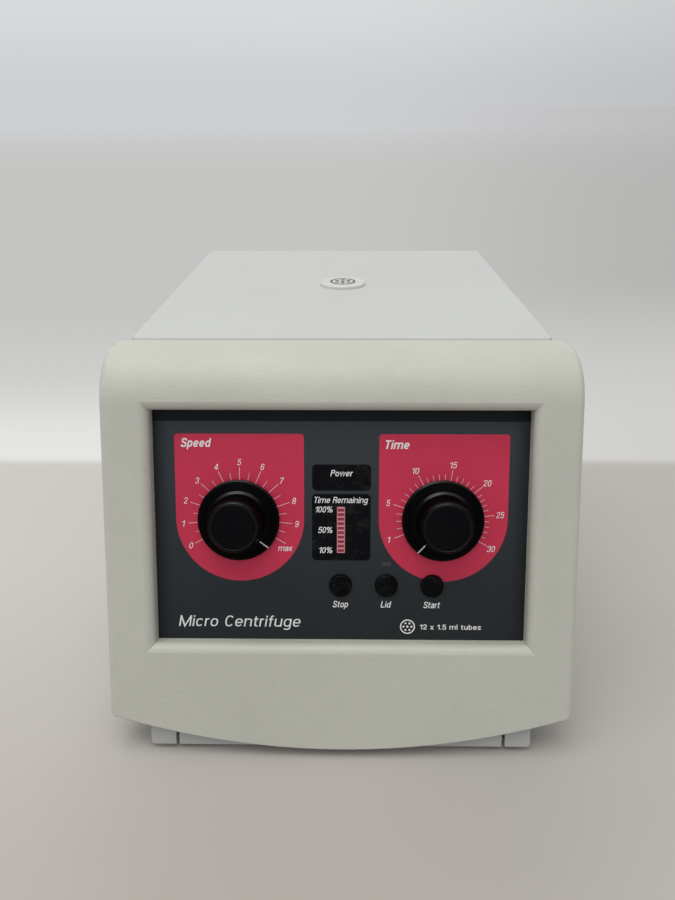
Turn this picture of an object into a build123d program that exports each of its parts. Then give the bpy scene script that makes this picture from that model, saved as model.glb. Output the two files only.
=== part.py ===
from build123d import *
import math
import os

# A bench centrifuge for twelve small tubes: sloping front bezel with a recessed
# control panel, sheet housing, flat hinged lid, and an upright motor and rotor.
# Millimetres.  +Z is up, -Y is the front, X = 0 is the middle.  The drawing's own
# Y zero is MIDDLE_Y in front of the machine's middle; every piece is saved shifted
# by that much, so the origin is on the bench under the middle of the machine.

os.makedirs("parts", exist_ok=True)

MIDDLE_Y = 13.4

# ---------------------------------------------------------------- dimensions
# sloping front; places on it are (x, s), with s the distance up the face
LEAN = 20.55                    # the face leans back this many degrees
FACE_Y, FACE_Z = -140.5, 4.0    # foot of the face
BEZEL_HALF = 112.6              # half width at the face
BEZEL_REAR_HALF = 107.4         # half width at the rear edge
BEZEL_DEPTH = 21.3              # square to the face
APERTURE_HALF = 89.8            # half width of the control panel recess
APERTURE_BOTTOM, APERTURE_TOP = 53.4, 166.6
PANEL_DEPTH = 9.0               # recess depth, square to the face

# body
BODY_HALF = 99.5
BODY_REAR_Y = 165.4
BODY_WALL = 2.5
BODY_BOTTOM_Z = 5.0
DECK_Z = 166.0                  # top deck
DECK_UNDER_Z = DECK_Z - BODY_WALL
TROUGH_Y, TROUGH_Z = 151.3, 160.0    # front edge and floor of the hinge trough
SIDE_SCREW_YS = (-70.0, 38.0, 142.0)
SIDE_SCREW_Z = 12.0

# base pan
SHEET = 1.2
PAN_HALF = 93.6
PAN_Z = 3.2
PAN_TOP_Z = PAN_Z + SHEET
PAN_REAR_Y = 162.8

# lid
LID_HALF = 103.2
LID_FRONT_Y, LID_REAR_Y = -49.7, 167.0
LID_MID_Y = (LID_FRONT_Y + LID_REAR_Y) / 2
LID_BOTTOM_Z, LID_TOP_Z = 167.0, 184.2
LID_WALL = 2.5
LID_UNDER_Z = LID_TOP_Z - LID_WALL
HINGE_X, HINGE_Y, HINGE_Z = 62.0, 158.8, 172.7

# rotor, chamber and motor
ROTOR_Y = 59.0
ROTOR_XY = (0, ROTOR_Y)
BOWL_R = 73.0
BOWL_T = 2.0
BOWL_BOTTOM_Z = 90.0
BOWL_RIM_Z = DECK_Z + 1.4
WELL_Z = 140.0                  # height of the well mouth centres
HUB_Z = WELL_Z - 14             # flat middle of the rotor, under the nut
ROTOR_BOTTOM_Z = 100.0
SHAFT_R = 5.0
SHAFT_TOP_Z = HUB_Z + 14
POST_TOP_Z = 66.0
MOTOR_TOP_Z = 80.0
POST_OFFSET = 46                # motor posts, either way from the rotor axis

# latch
LATCH_Y = -44.5
BOLT_YZ = (-43.2, 155.5)

# rear panel
CONNECTOR_Z = 42.0
INLET_XZ = (-58, CONNECTOR_Z)
INLET_SIZE = (27.0, 20.0)
SWITCH_X = -20.0
SWITCH_XZ = (SWITCH_X, CONNECTOR_Z)
SWITCH_SIZE = (19.2, 13.2)
FUSE_XZ = (8, CONNECTOR_Z)
FUSE_R = 6.0

SIDES = (-1, 1)                 # left, right
CUT = Mode.SUBTRACT
ARC_MID = 0.29289               # middle of a quarter arc, from its corner, per radius

# ---------------------------------------------------------------- helpers
SIN, COS = math.sin(math.radians(LEAN)), math.cos(math.radians(LEAN))
UP_FACE = (0, SIN, COS)
OUT_OF_FACE = (0, -COS, SIN)
SIDE = Plane.YZ                 # sketches in (Y, Z), extruded along X
ROTOR_SECTION = Plane(origin=(0, ROTOR_Y, 0), x_dir=(1, 0, 0), z_dir=(0, -1, 0))
ROTOR_AXIS = Axis((0, ROTOR_Y, 0), (0, 0, 1))


def face_yz(s, depth=0.0):
    """Y and Z of a point s up the face and depth behind it."""
    return (FACE_Y + s * SIN + depth * COS, FACE_Z + s * COS - depth * SIN)


def leaning_yz(z, depth):
    """Y and Z of the point at height z on the plane depth behind the face."""
    return face_yz((z - FACE_Z + depth * SIN) / COS, depth)


def face_plane(depth=0.0):
    """Plane parallel to the face: x right, y up the face, normal out of the machine."""
    return Plane(origin=(0,) + face_yz(0, depth), x_dir=(1, 0, 0), z_dir=OUT_OF_FACE)


def across_plane(s):
    """Plane across the face at s: x right, y into the machine, normal up the face."""
    return Plane(origin=(0,) + face_yz(s), x_dir=(1, 0, 0), z_dir=UP_FACE)


def level(z):
    """Horizontal plane at height z."""
    return Plane.XY.offset(z)


def rear_plane(y):
    """Upright (X, Z) plane at y, its normal towards the front."""
    return Plane.XZ.offset(-y)


def outward_plane(side, x):
    """Plane square to X at side * x, facing out: local x is Y, local y is side * Z."""
    return Plane(origin=(side * x, 0, 0), x_dir=(0, 1, 0), z_dir=(side, 0, 0))


def pairs(half, rows):
    """Places at -half and +half in each of the rows."""
    return [(side * half, row) for row in rows for side in SIDES]


def slots(middle, pitch, count, length, width):
    """A row of upright slots, drawn in the open sketch."""
    with Locations(middle):
        with GridLocations(pitch, 1, count, 1):
            SlotOverall(length, width, rotation=90)


def cross(length, width):
    """A screw's cross recess, drawn in the open sketch."""
    Rectangle(length, width)
    Rectangle(width, length)


def turned(outline):
    """A piece turned about the rotor axis; the outline is (radius, z)."""
    with BuildPart() as piece:
        with BuildSketch(ROTOR_SECTION):
            with BuildLine():
                Polyline(*outline, close=True)
            make_face()
        revolve(axis=ROTOR_AXIS)
    return piece.part


def tubes(places, outer_r, inner_r, bottom, top):
    """Upright tubes at the places."""
    with BuildPart() as piece:
        with BuildSketch(level(bottom)):
            with Locations(*places):
                Circle(outer_r)
                Circle(inner_r, mode=CUT)
        extrude(amount=top - bottom)
    return piece.part


def save(part, label):
    placed = part.moved(Location((0, -MIDDLE_Y, 0)))
    placed.label = label
    export_step(placed, f"parts/{label}.step")


# ---------------------------------------------------------------- base pan
FOOT_XY = pairs(74, (-98, 134))
FOOT_HOLE_R = 2.2
POST_XY = pairs(POST_OFFSET, (ROTOR_Y - POST_OFFSET, ROTOR_Y + POST_OFFSET))
PAN_FLANGE_TOP_Z = 20.0
PAN_FRONT_DEPTH = 4.2           # front flange, behind the face
PAN_FRONT_TOP = 40.0            # top of the front flange, up the face
SIDE_FLANGE_FRONT_Y = -120.0
PAN_BEND = 1.8                  # outer bend radius
PAN_HOLE_R = 1.7

FOOT_SCREW_Z = 0.5              # underside of the heads
FOOT_RECESS_Z = 2.3             # seat of the heads inside the feet


def base_pan():
    inner_depth = PAN_FRONT_DEPTH + SHEET
    with BuildPart() as piece:
        # folded sheet: floor, leaning front flange, upright rear flange
        with BuildSketch(SIDE):
            with BuildLine():
                Polyline(
                    leaning_yz(PAN_Z, PAN_FRONT_DEPTH),
                    (PAN_REAR_Y, PAN_Z),
                    (PAN_REAR_Y, PAN_FLANGE_TOP_Z),
                    (PAN_REAR_Y - SHEET, PAN_FLANGE_TOP_Z),
                    (PAN_REAR_Y - SHEET, PAN_TOP_Z),
                    leaning_yz(PAN_TOP_Z, inner_depth),
                    face_yz(PAN_FRONT_TOP, inner_depth),
                    face_yz(PAN_FRONT_TOP, PAN_FRONT_DEPTH),
                    close=True,
                )
            make_face()
        extrude(amount=PAN_HALF, both=True)
        # side flanges
        with BuildSketch(level(PAN_Z)):
            middle_y = (PAN_REAR_Y + SIDE_FLANGE_FRONT_Y) / 2
            with Locations(*pairs(PAN_HALF - SHEET / 2, [middle_y])):
                Rectangle(SHEET, PAN_REAR_Y - SIDE_FLANGE_FRONT_Y)
        extrude(amount=PAN_FLANGE_TOP_Z - PAN_Z)
        # rounded lower bends along both sides
        bend_top = PAN_Z + PAN_BEND
        with BuildSketch(rear_plane(175)):
            for side in SIDES:
                with BuildLine():
                    Polyline(
                        (side * (PAN_HALF - PAN_BEND), PAN_Z),
                        (side * (PAN_HALF + 1), PAN_Z),
                        (side * (PAN_HALF + 1), bend_top),
                        (side * PAN_HALF, bend_top),
                    )
                    ThreePointArc(
                        (side * PAN_HALF, bend_top),
                        (side * (PAN_HALF - PAN_BEND * ARC_MID), PAN_Z + PAN_BEND * ARC_MID),
                        (side * (PAN_HALF - PAN_BEND), PAN_Z),
                    )
                make_face()
        extrude(amount=330, mode=CUT)
        # foot and post holes, cooling slots under the motor
        with BuildSketch(level(PAN_Z)):
            with Locations(*FOOT_XY):
                Circle(FOOT_HOLE_R)
            with Locations(*POST_XY):
                Circle(PAN_HOLE_R)
            slots(ROTOR_XY, pitch=9, count=7, length=44, width=3.4)
        extrude(amount=SHEET, mode=CUT)
        # side screw holes
        with BuildSketch(Plane.YZ.offset(-PAN_HALF - 1)):
            with Locations(*[(y, SIDE_SCREW_Z) for y in SIDE_SCREW_YS]):
                Circle(PAN_HOLE_R)
        extrude(amount=2 * PAN_HALF + 2, mode=CUT)
        # narrow upright slots near the ends of the front flange
        with BuildSketch(face_plane(0)):
            with Locations(*pairs(80.4, [4.0])):
                Rectangle(1.6, 13.0)
        extrude(amount=-8, mode=CUT)
    return piece.part


def rubber_feet():
    with BuildPart() as piece:
        with BuildSketch(Plane.XY):
            with Locations(*FOOT_XY):
                Circle(9)
        extrude(amount=PAN_Z)
        chamfer(piece.edges().filter_by(GeomType.CIRCLE).group_by(Axis.Z)[0], 0.7)
        for radius, height in ((4.6, FOOT_RECESS_Z), (FOOT_HOLE_R, PAN_Z)):
            with BuildSketch(Plane.XY):
                with Locations(*FOOT_XY):
                    Circle(radius)
            extrude(amount=height, mode=CUT)
    return piece.part


def foot_screws():
    with BuildPart() as piece:
        with BuildSketch(level(FOOT_SCREW_Z)):
            with Locations(*FOOT_XY):
                Circle(4.0)
        extrude(amount=FOOT_RECESS_Z - FOOT_SCREW_Z)
        with BuildSketch(level(FOOT_RECESS_Z)):
            with Locations(*FOOT_XY):
                Circle(2.0)
        extrude(amount=6)
        with BuildSketch(level(FOOT_SCREW_Z)):
            with Locations(*FOOT_XY):
                cross(4.6, 0.9)
        extrude(amount=1.0, mode=CUT)
    return piece.part


# ---------------------------------------------------------------- front bezel
APERTURE_MID = (APERTURE_TOP + APERTURE_BOTTOM) / 2
APERTURE_HIGH = (APERTURE_TOP - APERTURE_BOTTOM) / 2    # half height
LIP_R = 4.6                     # rolled lip around the recess
LIP_LIFT = 0.06                 # the lip arc meets the face at a slight angle
FRAME_WALL = 6.4                # frame around the recess
BEZEL_WALL = 2.8
BEZEL_REAR_WALL = 2.4
BEZEL_FLAT_TOP = 169.6          # where the flat face turns into the top roll
BEZEL_ROLL_R = 32.0
BEZEL_CORNER_Z = 22.5           # top of the cut at the lower corners
BEZEL_ARC_END_Z = BEZEL_CORNER_Z - 1.5
BEZEL_ARC_LOW_Z = 4.9           # lowest point of the curved lower edge
BEZEL_TAPER_DEPTH = 4.0         # the sides start to draw in here
BEZEL_EDGE_R = 3.6
REAR_OPENING_HALF = 94.0
PANEL_SCREWS = pairs(93.2, (60.0, 160.0))
PANEL_SCREW_R = 1.2


def recess_cutter():
    """Opening of the recess with its rolled lip and mitred corners."""
    along_face = Plane(         # x up the face, y into the machine
        origin=(0,) + face_yz(APERTURE_MID), x_dir=UP_FACE, z_dir=(-1, 0, 0))
    # plane, half size of the opening, reach before and behind the face, half length
    passes = (
        (across_plane(APERTURE_MID), APERTURE_HALF, 14, 120, Mode.ADD),
        (along_face, APERTURE_HIGH, 13, 150, Mode.INTERSECT),
    )
    with BuildPart() as piece:
        for plane, half, reach, length, mode in passes:
            outer = half + LIP_R
            middle = half + LIP_R * ARC_MID
            lip_end = LIP_R - LIP_LIFT
            lip_middle = LIP_R * ARC_MID - LIP_LIFT
            with BuildSketch(plane):
                with BuildLine():
                    Polyline(
                        (-outer, -LIP_LIFT), (-outer, -reach), (outer, -reach), (outer, -LIP_LIFT)
                    )
                    ThreePointArc((outer, -LIP_LIFT), (middle, lip_middle), (half, lip_end))
                    Polyline((half, lip_end), (half, reach), (-half, reach), (-half, lip_end))
                    ThreePointArc((-half, lip_end), (-middle, lip_middle), (-outer, -LIP_LIFT))
                make_face()
            extrude(amount=length, both=True, mode=mode)
    return piece.part


def top_roll(radius, depth):
    """Middle and end (s, depth) of the roll of this radius, ended at depth."""
    end = BEZEL_FLAT_TOP + math.sqrt(radius**2 - (BEZEL_ROLL_R - depth) ** 2)
    angle = math.asin((end - BEZEL_FLAT_TOP) / radius) / 2
    middle = (
        BEZEL_FLAT_TOP + radius * math.sin(angle),
        BEZEL_ROLL_R - radius * math.cos(angle),
    )
    return middle, (end, depth)


def front_bezel():
    cutter = recess_cutter()
    with BuildPart() as piece:
        # side profile: flat face, top roll, rear edge parallel to the face
        roll_middle, roll_end = top_roll(BEZEL_ROLL_R, BEZEL_DEPTH)
        with BuildSketch(SIDE):
            with BuildLine():
                Line(face_yz(-30, BEZEL_DEPTH), face_yz(-30))
                Line(face_yz(-30), face_yz(BEZEL_FLAT_TOP))
                ThreePointArc(face_yz(BEZEL_FLAT_TOP), face_yz(*roll_middle), face_yz(*roll_end))
                Line(face_yz(*roll_end), face_yz(-30, BEZEL_DEPTH))
            make_face()
        extrude(amount=BEZEL_HALF, both=True)
        # curved lower edge, cut level from front to back
        with BuildSketch(rear_plane(-160)):
            with BuildLine():
                ThreePointArc(
                    (-BEZEL_HALF, BEZEL_ARC_END_Z), (0, BEZEL_ARC_LOW_Z),
                    (BEZEL_HALF, BEZEL_ARC_END_Z),
                )
                Polyline(
                    (BEZEL_HALF, BEZEL_ARC_END_Z),
                    (BEZEL_HALF, BEZEL_CORNER_Z),
                    (130, BEZEL_CORNER_Z),
                    (130, -60),
                    (-130, -60),
                    (-130, BEZEL_CORNER_Z),
                    (-BEZEL_HALF, BEZEL_CORNER_Z),
                    (-BEZEL_HALF, BEZEL_ARC_END_Z),
                )
            make_face()
        extrude(amount=-200, mode=CUT)
        # the side walls draw in towards the rear; the cut runs on to cut_depth
        cut_depth = 30.0
        taper = (BEZEL_HALF - BEZEL_REAR_HALF) / (BEZEL_DEPTH - BEZEL_TAPER_DEPTH)
        cut_half = BEZEL_REAR_HALF - (cut_depth - BEZEL_DEPTH) * taper
        for side in SIDES:
            with BuildSketch(across_plane(-30)):
                with BuildLine():
                    Polyline(
                        (side * BEZEL_HALF, BEZEL_TAPER_DEPTH),
                        (side * (BEZEL_HALF + 8), BEZEL_TAPER_DEPTH),
                        (side * (BEZEL_HALF + 8), cut_depth),
                        (side * cut_half, cut_depth),
                        close=True,
                    )
                make_face()
            extrude(amount=260, mode=CUT)
        # soften the upright outer edges, which lie in the face
        front_edges = [
            e for e in piece.edges()
            if abs(abs(e.center().X) - BEZEL_HALF) < 0.6 and e.center().Z > 30
            and abs((e.center().Y - FACE_Y) * COS - (e.center().Z - FACE_Z) * SIN) < 0.6
        ]
        fillet(front_edges, BEZEL_EDGE_R)
        # hollow, open below
        inner_depth = BEZEL_DEPTH - BEZEL_REAR_WALL
        roll_middle, roll_end = top_roll(BEZEL_ROLL_R - BEZEL_WALL, inner_depth)
        with BuildSketch(SIDE):
            with BuildLine():
                Line(face_yz(-60, inner_depth), face_yz(-60, BEZEL_WALL))
                Line(face_yz(-60, BEZEL_WALL), face_yz(BEZEL_FLAT_TOP, BEZEL_WALL))
                ThreePointArc(
                    face_yz(BEZEL_FLAT_TOP, BEZEL_WALL), face_yz(*roll_middle), face_yz(*roll_end)
                )
                Line(face_yz(*roll_end), face_yz(-60, inner_depth))
            make_face()
        extrude(amount=BEZEL_REAR_HALF - BEZEL_WALL, both=True, mode=CUT)
        # opening in the rear wall, which leaves a return flange
        with BuildSketch(face_plane(BEZEL_DEPTH + 1)):
            with Locations((0, 64)):
                Rectangle(2 * REAR_OPENING_HALF, 240)
        extrude(amount=5, mode=CUT)
        # frame wall around the control panel recess
        with BuildSketch(face_plane(PANEL_DEPTH)):
            with Locations((0, APERTURE_MID)):
                Rectangle(2 * (APERTURE_HALF + FRAME_WALL), 2 * (APERTURE_HIGH + FRAME_WALL))
        extrude(amount=PANEL_DEPTH - 0.2)
        add(cutter, mode=CUT)
        # pilot holes for the panel screws
        with BuildSketch(face_plane(PANEL_DEPTH)):
            with Locations(*PANEL_SCREWS):
                Circle(PANEL_SCREW_R)
        extrude(amount=4.4, mode=CUT)
    return piece.part


# ---------------------------------------------------------------- housing
HOUSING_DEPTH = BEZEL_DEPTH + 0.2    # its front edge, behind the face
SIDE_SCREW_HEAD_H = 1.6


def housing_cover():
    hollow_depth = HOUSING_DEPTH - 3
    hollow_rear_y = BODY_REAR_Y - BODY_WALL
    hollow_bottom = face_yz(-30.0, hollow_depth)
    with BuildPart() as piece:
        # body behind the bezel: its front edge leans with the bezel
        with BuildSketch(SIDE):
            with BuildLine():
                Polyline(
                    leaning_yz(BODY_BOTTOM_Z, HOUSING_DEPTH),
                    (BODY_REAR_Y, BODY_BOTTOM_Z),
                    (BODY_REAR_Y, TROUGH_Z),
                    (TROUGH_Y, TROUGH_Z),
                    (TROUGH_Y, DECK_Z),
                    leaning_yz(DECK_Z, HOUSING_DEPTH),
                    close=True,
                )
            make_face()
        extrude(amount=BODY_HALF, both=True)
        fillet(piece.edges().filter_by(Axis.Z).group_by(Axis.Y)[-1], 6.0)
        # hollow, open below and in front
        with BuildSketch(SIDE):
            with BuildLine():
                Polyline(
                    hollow_bottom,
                    (hollow_rear_y, hollow_bottom[1]),
                    (hollow_rear_y, TROUGH_Z - BODY_WALL),
                    (TROUGH_Y - BODY_WALL, TROUGH_Z - BODY_WALL),
                    (TROUGH_Y - BODY_WALL, DECK_UNDER_Z),
                    leaning_yz(DECK_UNDER_Z, hollow_depth),
                    close=True,
                )
            make_face()
        extrude(amount=BODY_HALF - BODY_WALL, both=True, mode=CUT)
        # chamber opening and latch slot in the deck
        with BuildSketch(level(DECK_Z)):
            with Locations(ROTOR_XY):
                Circle(BOWL_R + BOWL_T + 0.4)
            with Locations((0, LATCH_Y)):
                Rectangle(8, 12)
        extrude(amount=-6, mode=CUT)
        # side fixing holes
        with BuildSketch(Plane.YZ.offset(-BODY_HALF - 1)):
            with Locations(*[(y, SIDE_SCREW_Z) for y in SIDE_SCREW_YS]):
                Circle(2.2)
        extrude(amount=2 * BODY_HALF + 2, mode=CUT)
        # rear: cooling slots and cut-outs for the inlet, switch and fuse holder
        with BuildSketch(rear_plane(BODY_REAR_Y + 1)):
            slots((42, 100), pitch=8, count=9, length=46, width=3.4)
            with Locations(INLET_XZ):
                Rectangle(INLET_SIZE[0] + 0.4, INLET_SIZE[1] + 0.4)
            with Locations(SWITCH_XZ):
                Rectangle(SWITCH_SIZE[0] + 0.2, SWITCH_SIZE[1] + 0.2)
            with Locations(FUSE_XZ):
                Circle(FUSE_R + 0.1)
        extrude(amount=6, mode=CUT)
        # side cooling slots
        with BuildSketch(Plane.YZ.offset(-BODY_HALF - 1)):
            slots((112, 52), pitch=7, count=7, length=40, width=3.2)
        extrude(amount=2 * BODY_HALF + 2, mode=CUT)
    return piece.part


def housing_screws():
    with BuildPart() as piece:
        for side in SIDES:
            places = [(y, side * SIDE_SCREW_Z) for y in SIDE_SCREW_YS]
            with BuildSketch(outward_plane(side, BODY_HALF)):
                with Locations(*places):
                    Circle(3.6)
            extrude(amount=SIDE_SCREW_HEAD_H)
            with BuildSketch(outward_plane(side, BODY_HALF)):
                with Locations(*places):
                    Circle(1.6)
            extrude(amount=-9.0)
            with BuildSketch(outward_plane(side, BODY_HALF + SIDE_SCREW_HEAD_H)):
                with Locations(*places):
                    cross(4.2, 0.8)
            extrude(amount=-1.0, mode=CUT)
    return piece.part


# ---------------------------------------------------------------- chamber
BOWL_HOLE_R = 14                # hole in the bowl floor for the grommet


def chamber_bowl():
    outer_r = BOWL_R + BOWL_T
    return turned([
        (BOWL_HOLE_R, BOWL_BOTTOM_Z), (outer_r - 10, BOWL_BOTTOM_Z),
        (outer_r, BOWL_BOTTOM_Z + 10), (outer_r, DECK_Z),
        (outer_r + 3.2, DECK_Z), (outer_r + 3.2, BOWL_RIM_Z),
        (BOWL_R, BOWL_RIM_Z), (BOWL_R, BOWL_BOTTOM_Z + 10.9),
        (BOWL_R - 8.9, BOWL_BOTTOM_Z + BOWL_T), (BOWL_HOLE_R, BOWL_BOTTOM_Z + BOWL_T),
    ])


def chamber_gasket():
    with BuildPart() as piece:
        with BuildSketch(level(BOWL_RIM_Z)):
            with Locations(ROTOR_XY):
                Circle(BOWL_R + 4.2)
                Circle(BOWL_R + 1.2, mode=CUT)
        extrude(amount=2.0)
        fillet(piece.edges().filter_by(GeomType.CIRCLE).group_by(Axis.Z)[-1], 0.9)
    return piece.part


def shaft_grommet():
    inner_r, outer_r = 6.2, 17
    floor_top = BOWL_BOTTOM_Z + BOWL_T
    return turned([
        (inner_r, BOWL_BOTTOM_Z - 2), (outer_r, BOWL_BOTTOM_Z - 2),
        (outer_r, BOWL_BOTTOM_Z), (BOWL_HOLE_R, BOWL_BOTTOM_Z),
        (BOWL_HOLE_R, floor_top), (outer_r, floor_top),
        (outer_r, BOWL_BOTTOM_Z + 3.5), (9, BOWL_BOTTOM_Z + 5), (inner_r, BOWL_BOTTOM_Z + 5),
    ])


# ---------------------------------------------------------------- drive
MOTOR_R = 36.0
MOTOR_WALL = 3.0
END_CAP_Z = 22.0
CAN_BOTTOM_Z = 26.0
BEARING_R = 11.0
BEARING_BOSS_R = 14.0
POST_BORE_R = 1.5


def motor_posts():
    return tubes(POST_XY, 5, POST_BORE_R, PAN_TOP_Z, POST_TOP_Z)


def isolation_mounts():
    return tubes(POST_XY, 8, POST_BORE_R, POST_TOP_Z, MOTOR_TOP_Z)


def motor_plate():
    with BuildPart() as piece:
        with BuildSketch(level(MOTOR_TOP_Z)):
            with Locations(ROTOR_XY):
                RectangleRounded(112, 112, 12)
                Circle(16, mode=CUT)
            with Locations(*POST_XY):
                Circle(2.2, mode=CUT)
            with Locations(ROTOR_XY):
                with PolarLocations(25, 4, start_angle=45):
                    Circle(2.2, mode=CUT)
        extrude(amount=3)
    return piece.part


def motor_housing():
    inner_r = MOTOR_R - MOTOR_WALL
    boss_z, under_z = MOTOR_TOP_Z - 12, MOTOR_TOP_Z - 4
    return turned([
        (BEARING_R, boss_z), (BEARING_BOSS_R, boss_z), (BEARING_BOSS_R, under_z),
        (inner_r, under_z), (inner_r, CAN_BOTTOM_Z), (MOTOR_R, CAN_BOTTOM_Z),
        (MOTOR_R, MOTOR_TOP_Z), (BEARING_R, MOTOR_TOP_Z),
    ])


def motor_end_cap():
    boss_z = 34
    return turned([
        (BEARING_R, END_CAP_Z), (MOTOR_R, END_CAP_Z), (MOTOR_R, CAN_BOTTOM_Z),
        (BEARING_BOSS_R, CAN_BOTTOM_Z), (BEARING_BOSS_R, boss_z), (BEARING_R, boss_z),
    ])


def motor_bearings():
    with BuildPart() as piece:
        for z in (25.0, MOTOR_TOP_Z - 10):
            with BuildSketch(level(z)):
                with Locations(ROTOR_XY):
                    Circle(BEARING_R)
                    Circle(SHAFT_R + 0.03, mode=CUT)
            extrude(amount=8)
    return piece.part


def motor_stator():
    return tubes([ROTOR_XY], MOTOR_R - MOTOR_WALL, 20, 38, 66)


def motor_armature():
    return tubes([ROTOR_XY], 19.2, SHAFT_R, 37, 66)


def drive_shaft():
    shaft_bottom, collar_h = 23, 2
    with BuildPart() as piece:
        with BuildSketch(level(shaft_bottom)):
            with Locations(ROTOR_XY):
                Circle(SHAFT_R)
        extrude(amount=SHAFT_TOP_Z - shaft_bottom)
        # collar that carries the rotor
        with BuildSketch(level(ROTOR_BOTTOM_Z - collar_h)):
            with Locations(ROTOR_XY):
                Circle(8)
        extrude(amount=collar_h)
        chamfer(piece.edges().filter_by(GeomType.CIRCLE).group_by(Axis.Z)[-1], 0.8)
    return piece.part


# ---------------------------------------------------------------- rotor
ROTOR_R = 62.0
ROTOR_TOP_Z = 159.5
WELLS = 12
WELL_R = 5.6                    # well for a 1.5 ml tube
WELL_DEPTH = 34.0
WELL_PITCH_R = 32.0             # circle through the well mouth centres


def rotor():
    # the inner cone rises at 45 degrees through the well mouths
    cone_top_r = WELL_PITCH_R + (ROTOR_TOP_Z - WELL_Z)
    cone_foot_r = WELL_PITCH_R - (WELL_Z - HUB_Z)
    with BuildPart() as piece:
        with BuildSketch(ROTOR_SECTION):
            with BuildLine():
                Polyline(
                    (SHAFT_R, ROTOR_BOTTOM_Z), (ROTOR_R - 9, ROTOR_BOTTOM_Z),
                    (ROTOR_R, ROTOR_BOTTOM_Z + 9), (ROTOR_R, ROTOR_TOP_Z - 2.5),
                    (ROTOR_R - 2.5, ROTOR_TOP_Z), (cone_top_r, ROTOR_TOP_Z),
                    (cone_foot_r, HUB_Z), (SHAFT_R, HUB_Z),
                    close=True,
                )
            make_face()
        revolve(axis=ROTOR_AXIS)
        # wells point outward and down at 45 degrees
        well_places = []
        slope = math.sqrt(0.5)
        for i in range(WELLS):
            angle = math.radians(360 / WELLS * (i + 0.5))
            across, along = math.cos(angle), math.sin(angle)
            well_places.append(
                Plane(
                    origin=(WELL_PITCH_R * across, ROTOR_Y + WELL_PITCH_R * along, WELL_Z),
                    z_dir=(slope * across, slope * along, -slope),
                ).location
            )
        with Locations(*well_places):
            Cylinder(WELL_R, WELL_DEPTH, align=(Align.CENTER, Align.CENTER, Align.MIN), mode=CUT)
            Cylinder(WELL_R, 20, align=(Align.CENTER, Align.CENTER, Align.MAX), mode=CUT)
    return piece.part


def rotor_nut():
    flange_r, grip_r = 10.5, 9
    top_z = HUB_Z + 21.5
    bore_top_z = SHAFT_TOP_Z + 0.2
    with BuildPart() as piece:
        with BuildSketch(ROTOR_SECTION):
            with BuildLine():
                Polyline(
                    (SHAFT_R, HUB_Z), (flange_r, HUB_Z), (flange_r, HUB_Z + 2),
                    (grip_r, HUB_Z + 3), (grip_r, top_z - 1.5), (grip_r - 1.5, top_z),
                    (0, top_z), (0, bore_top_z), (SHAFT_R, bore_top_z),
                    close=True,
                )
            make_face()
        revolve(axis=ROTOR_AXIS)
        # grip flutes
        with BuildSketch(level(HUB_Z + 5)):
            with Locations(ROTOR_XY):
                with PolarLocations(grip_r + 0.3, 12):
                    Circle(0.9)
        extrude(amount=14, mode=CUT)
    return piece.part


# ---------------------------------------------------------------- lid
BADGE_R = 14.0
BADGE_H = 1.8                   # above the lid
BADGE_RECESS = 0.8
LINER_Z = 170.0                 # underside
LINER_T = 2.4
LINER_TOP_Z = LINER_Z + LINER_T
LINER_FRONT_Y, LINER_REAR_Y = LID_FRONT_Y + 3, 146.0
LINER_SCREWS = pairs(89, (LID_FRONT_Y + 9, 140.0))
LINER_HEAD_H = 1.2
HINGE_NOTCH_TOP_Z = HINGE_Z + 7.5

BRACKET_W = 8.0
BRACKET_R = 4.6                 # rounded top of the brackets
ARM_W = 5.0
ARM_R = 5.2                     # rounded bottom of the arms
ARM_X = HINGE_X + BRACKET_W / 2 + 0.4    # inner side of the arms
PIN_R = 2.0
PIN_END = 0.6                   # the pins stand out this far at each end

STRIKER_Z = 168.0               # underside of the striker plate


def lid_cover():
    with BuildPart() as piece:
        with BuildSketch(level(LID_BOTTOM_Z)):
            with Locations((0, LID_MID_Y)):
                Rectangle(2 * LID_HALF, LID_REAR_Y - LID_FRONT_Y)
        extrude(amount=LID_TOP_Z - LID_BOTTOM_Z)
        fillet(piece.edges().filter_by(Axis.Z), 3.5)
        fillet(piece.faces().sort_by(Axis.Z)[-1].edges(), 1.5)
        with BuildSketch(level(LID_BOTTOM_Z)):
            with Locations((0, LID_MID_Y)):
                RectangleRounded(
                    2 * (LID_HALF - LID_WALL), LID_REAR_Y - LID_FRONT_Y - 2 * LID_WALL, 1.2
                )
        extrude(amount=LID_UNDER_Z - LID_BOTTOM_Z, mode=CUT)
        # notches for the hinge brackets
        with BuildSketch(rear_plane(LID_REAR_Y + 1)):
            with Locations(*pairs(HINGE_X, [(LID_BOTTOM_Z + HINGE_NOTCH_TOP_Z) / 2])):
                Rectangle(12, HINGE_NOTCH_TOP_Z - LID_BOTTOM_Z)
        extrude(amount=4.5, mode=CUT)
        # recess for the badge
        with BuildSketch(level(LID_TOP_Z)):
            with Locations(ROTOR_XY):
                Circle(BADGE_R + 0.1)
        extrude(amount=-BADGE_RECESS, mode=CUT)
        # screw pillars for the liner
        with BuildSketch(level(LINER_TOP_Z)):
            with Locations(*LINER_SCREWS):
                Circle(4)
                Circle(1.4, mode=CUT)
        extrude(amount=LID_UNDER_Z - LINER_TOP_Z)
    return piece.part


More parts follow.
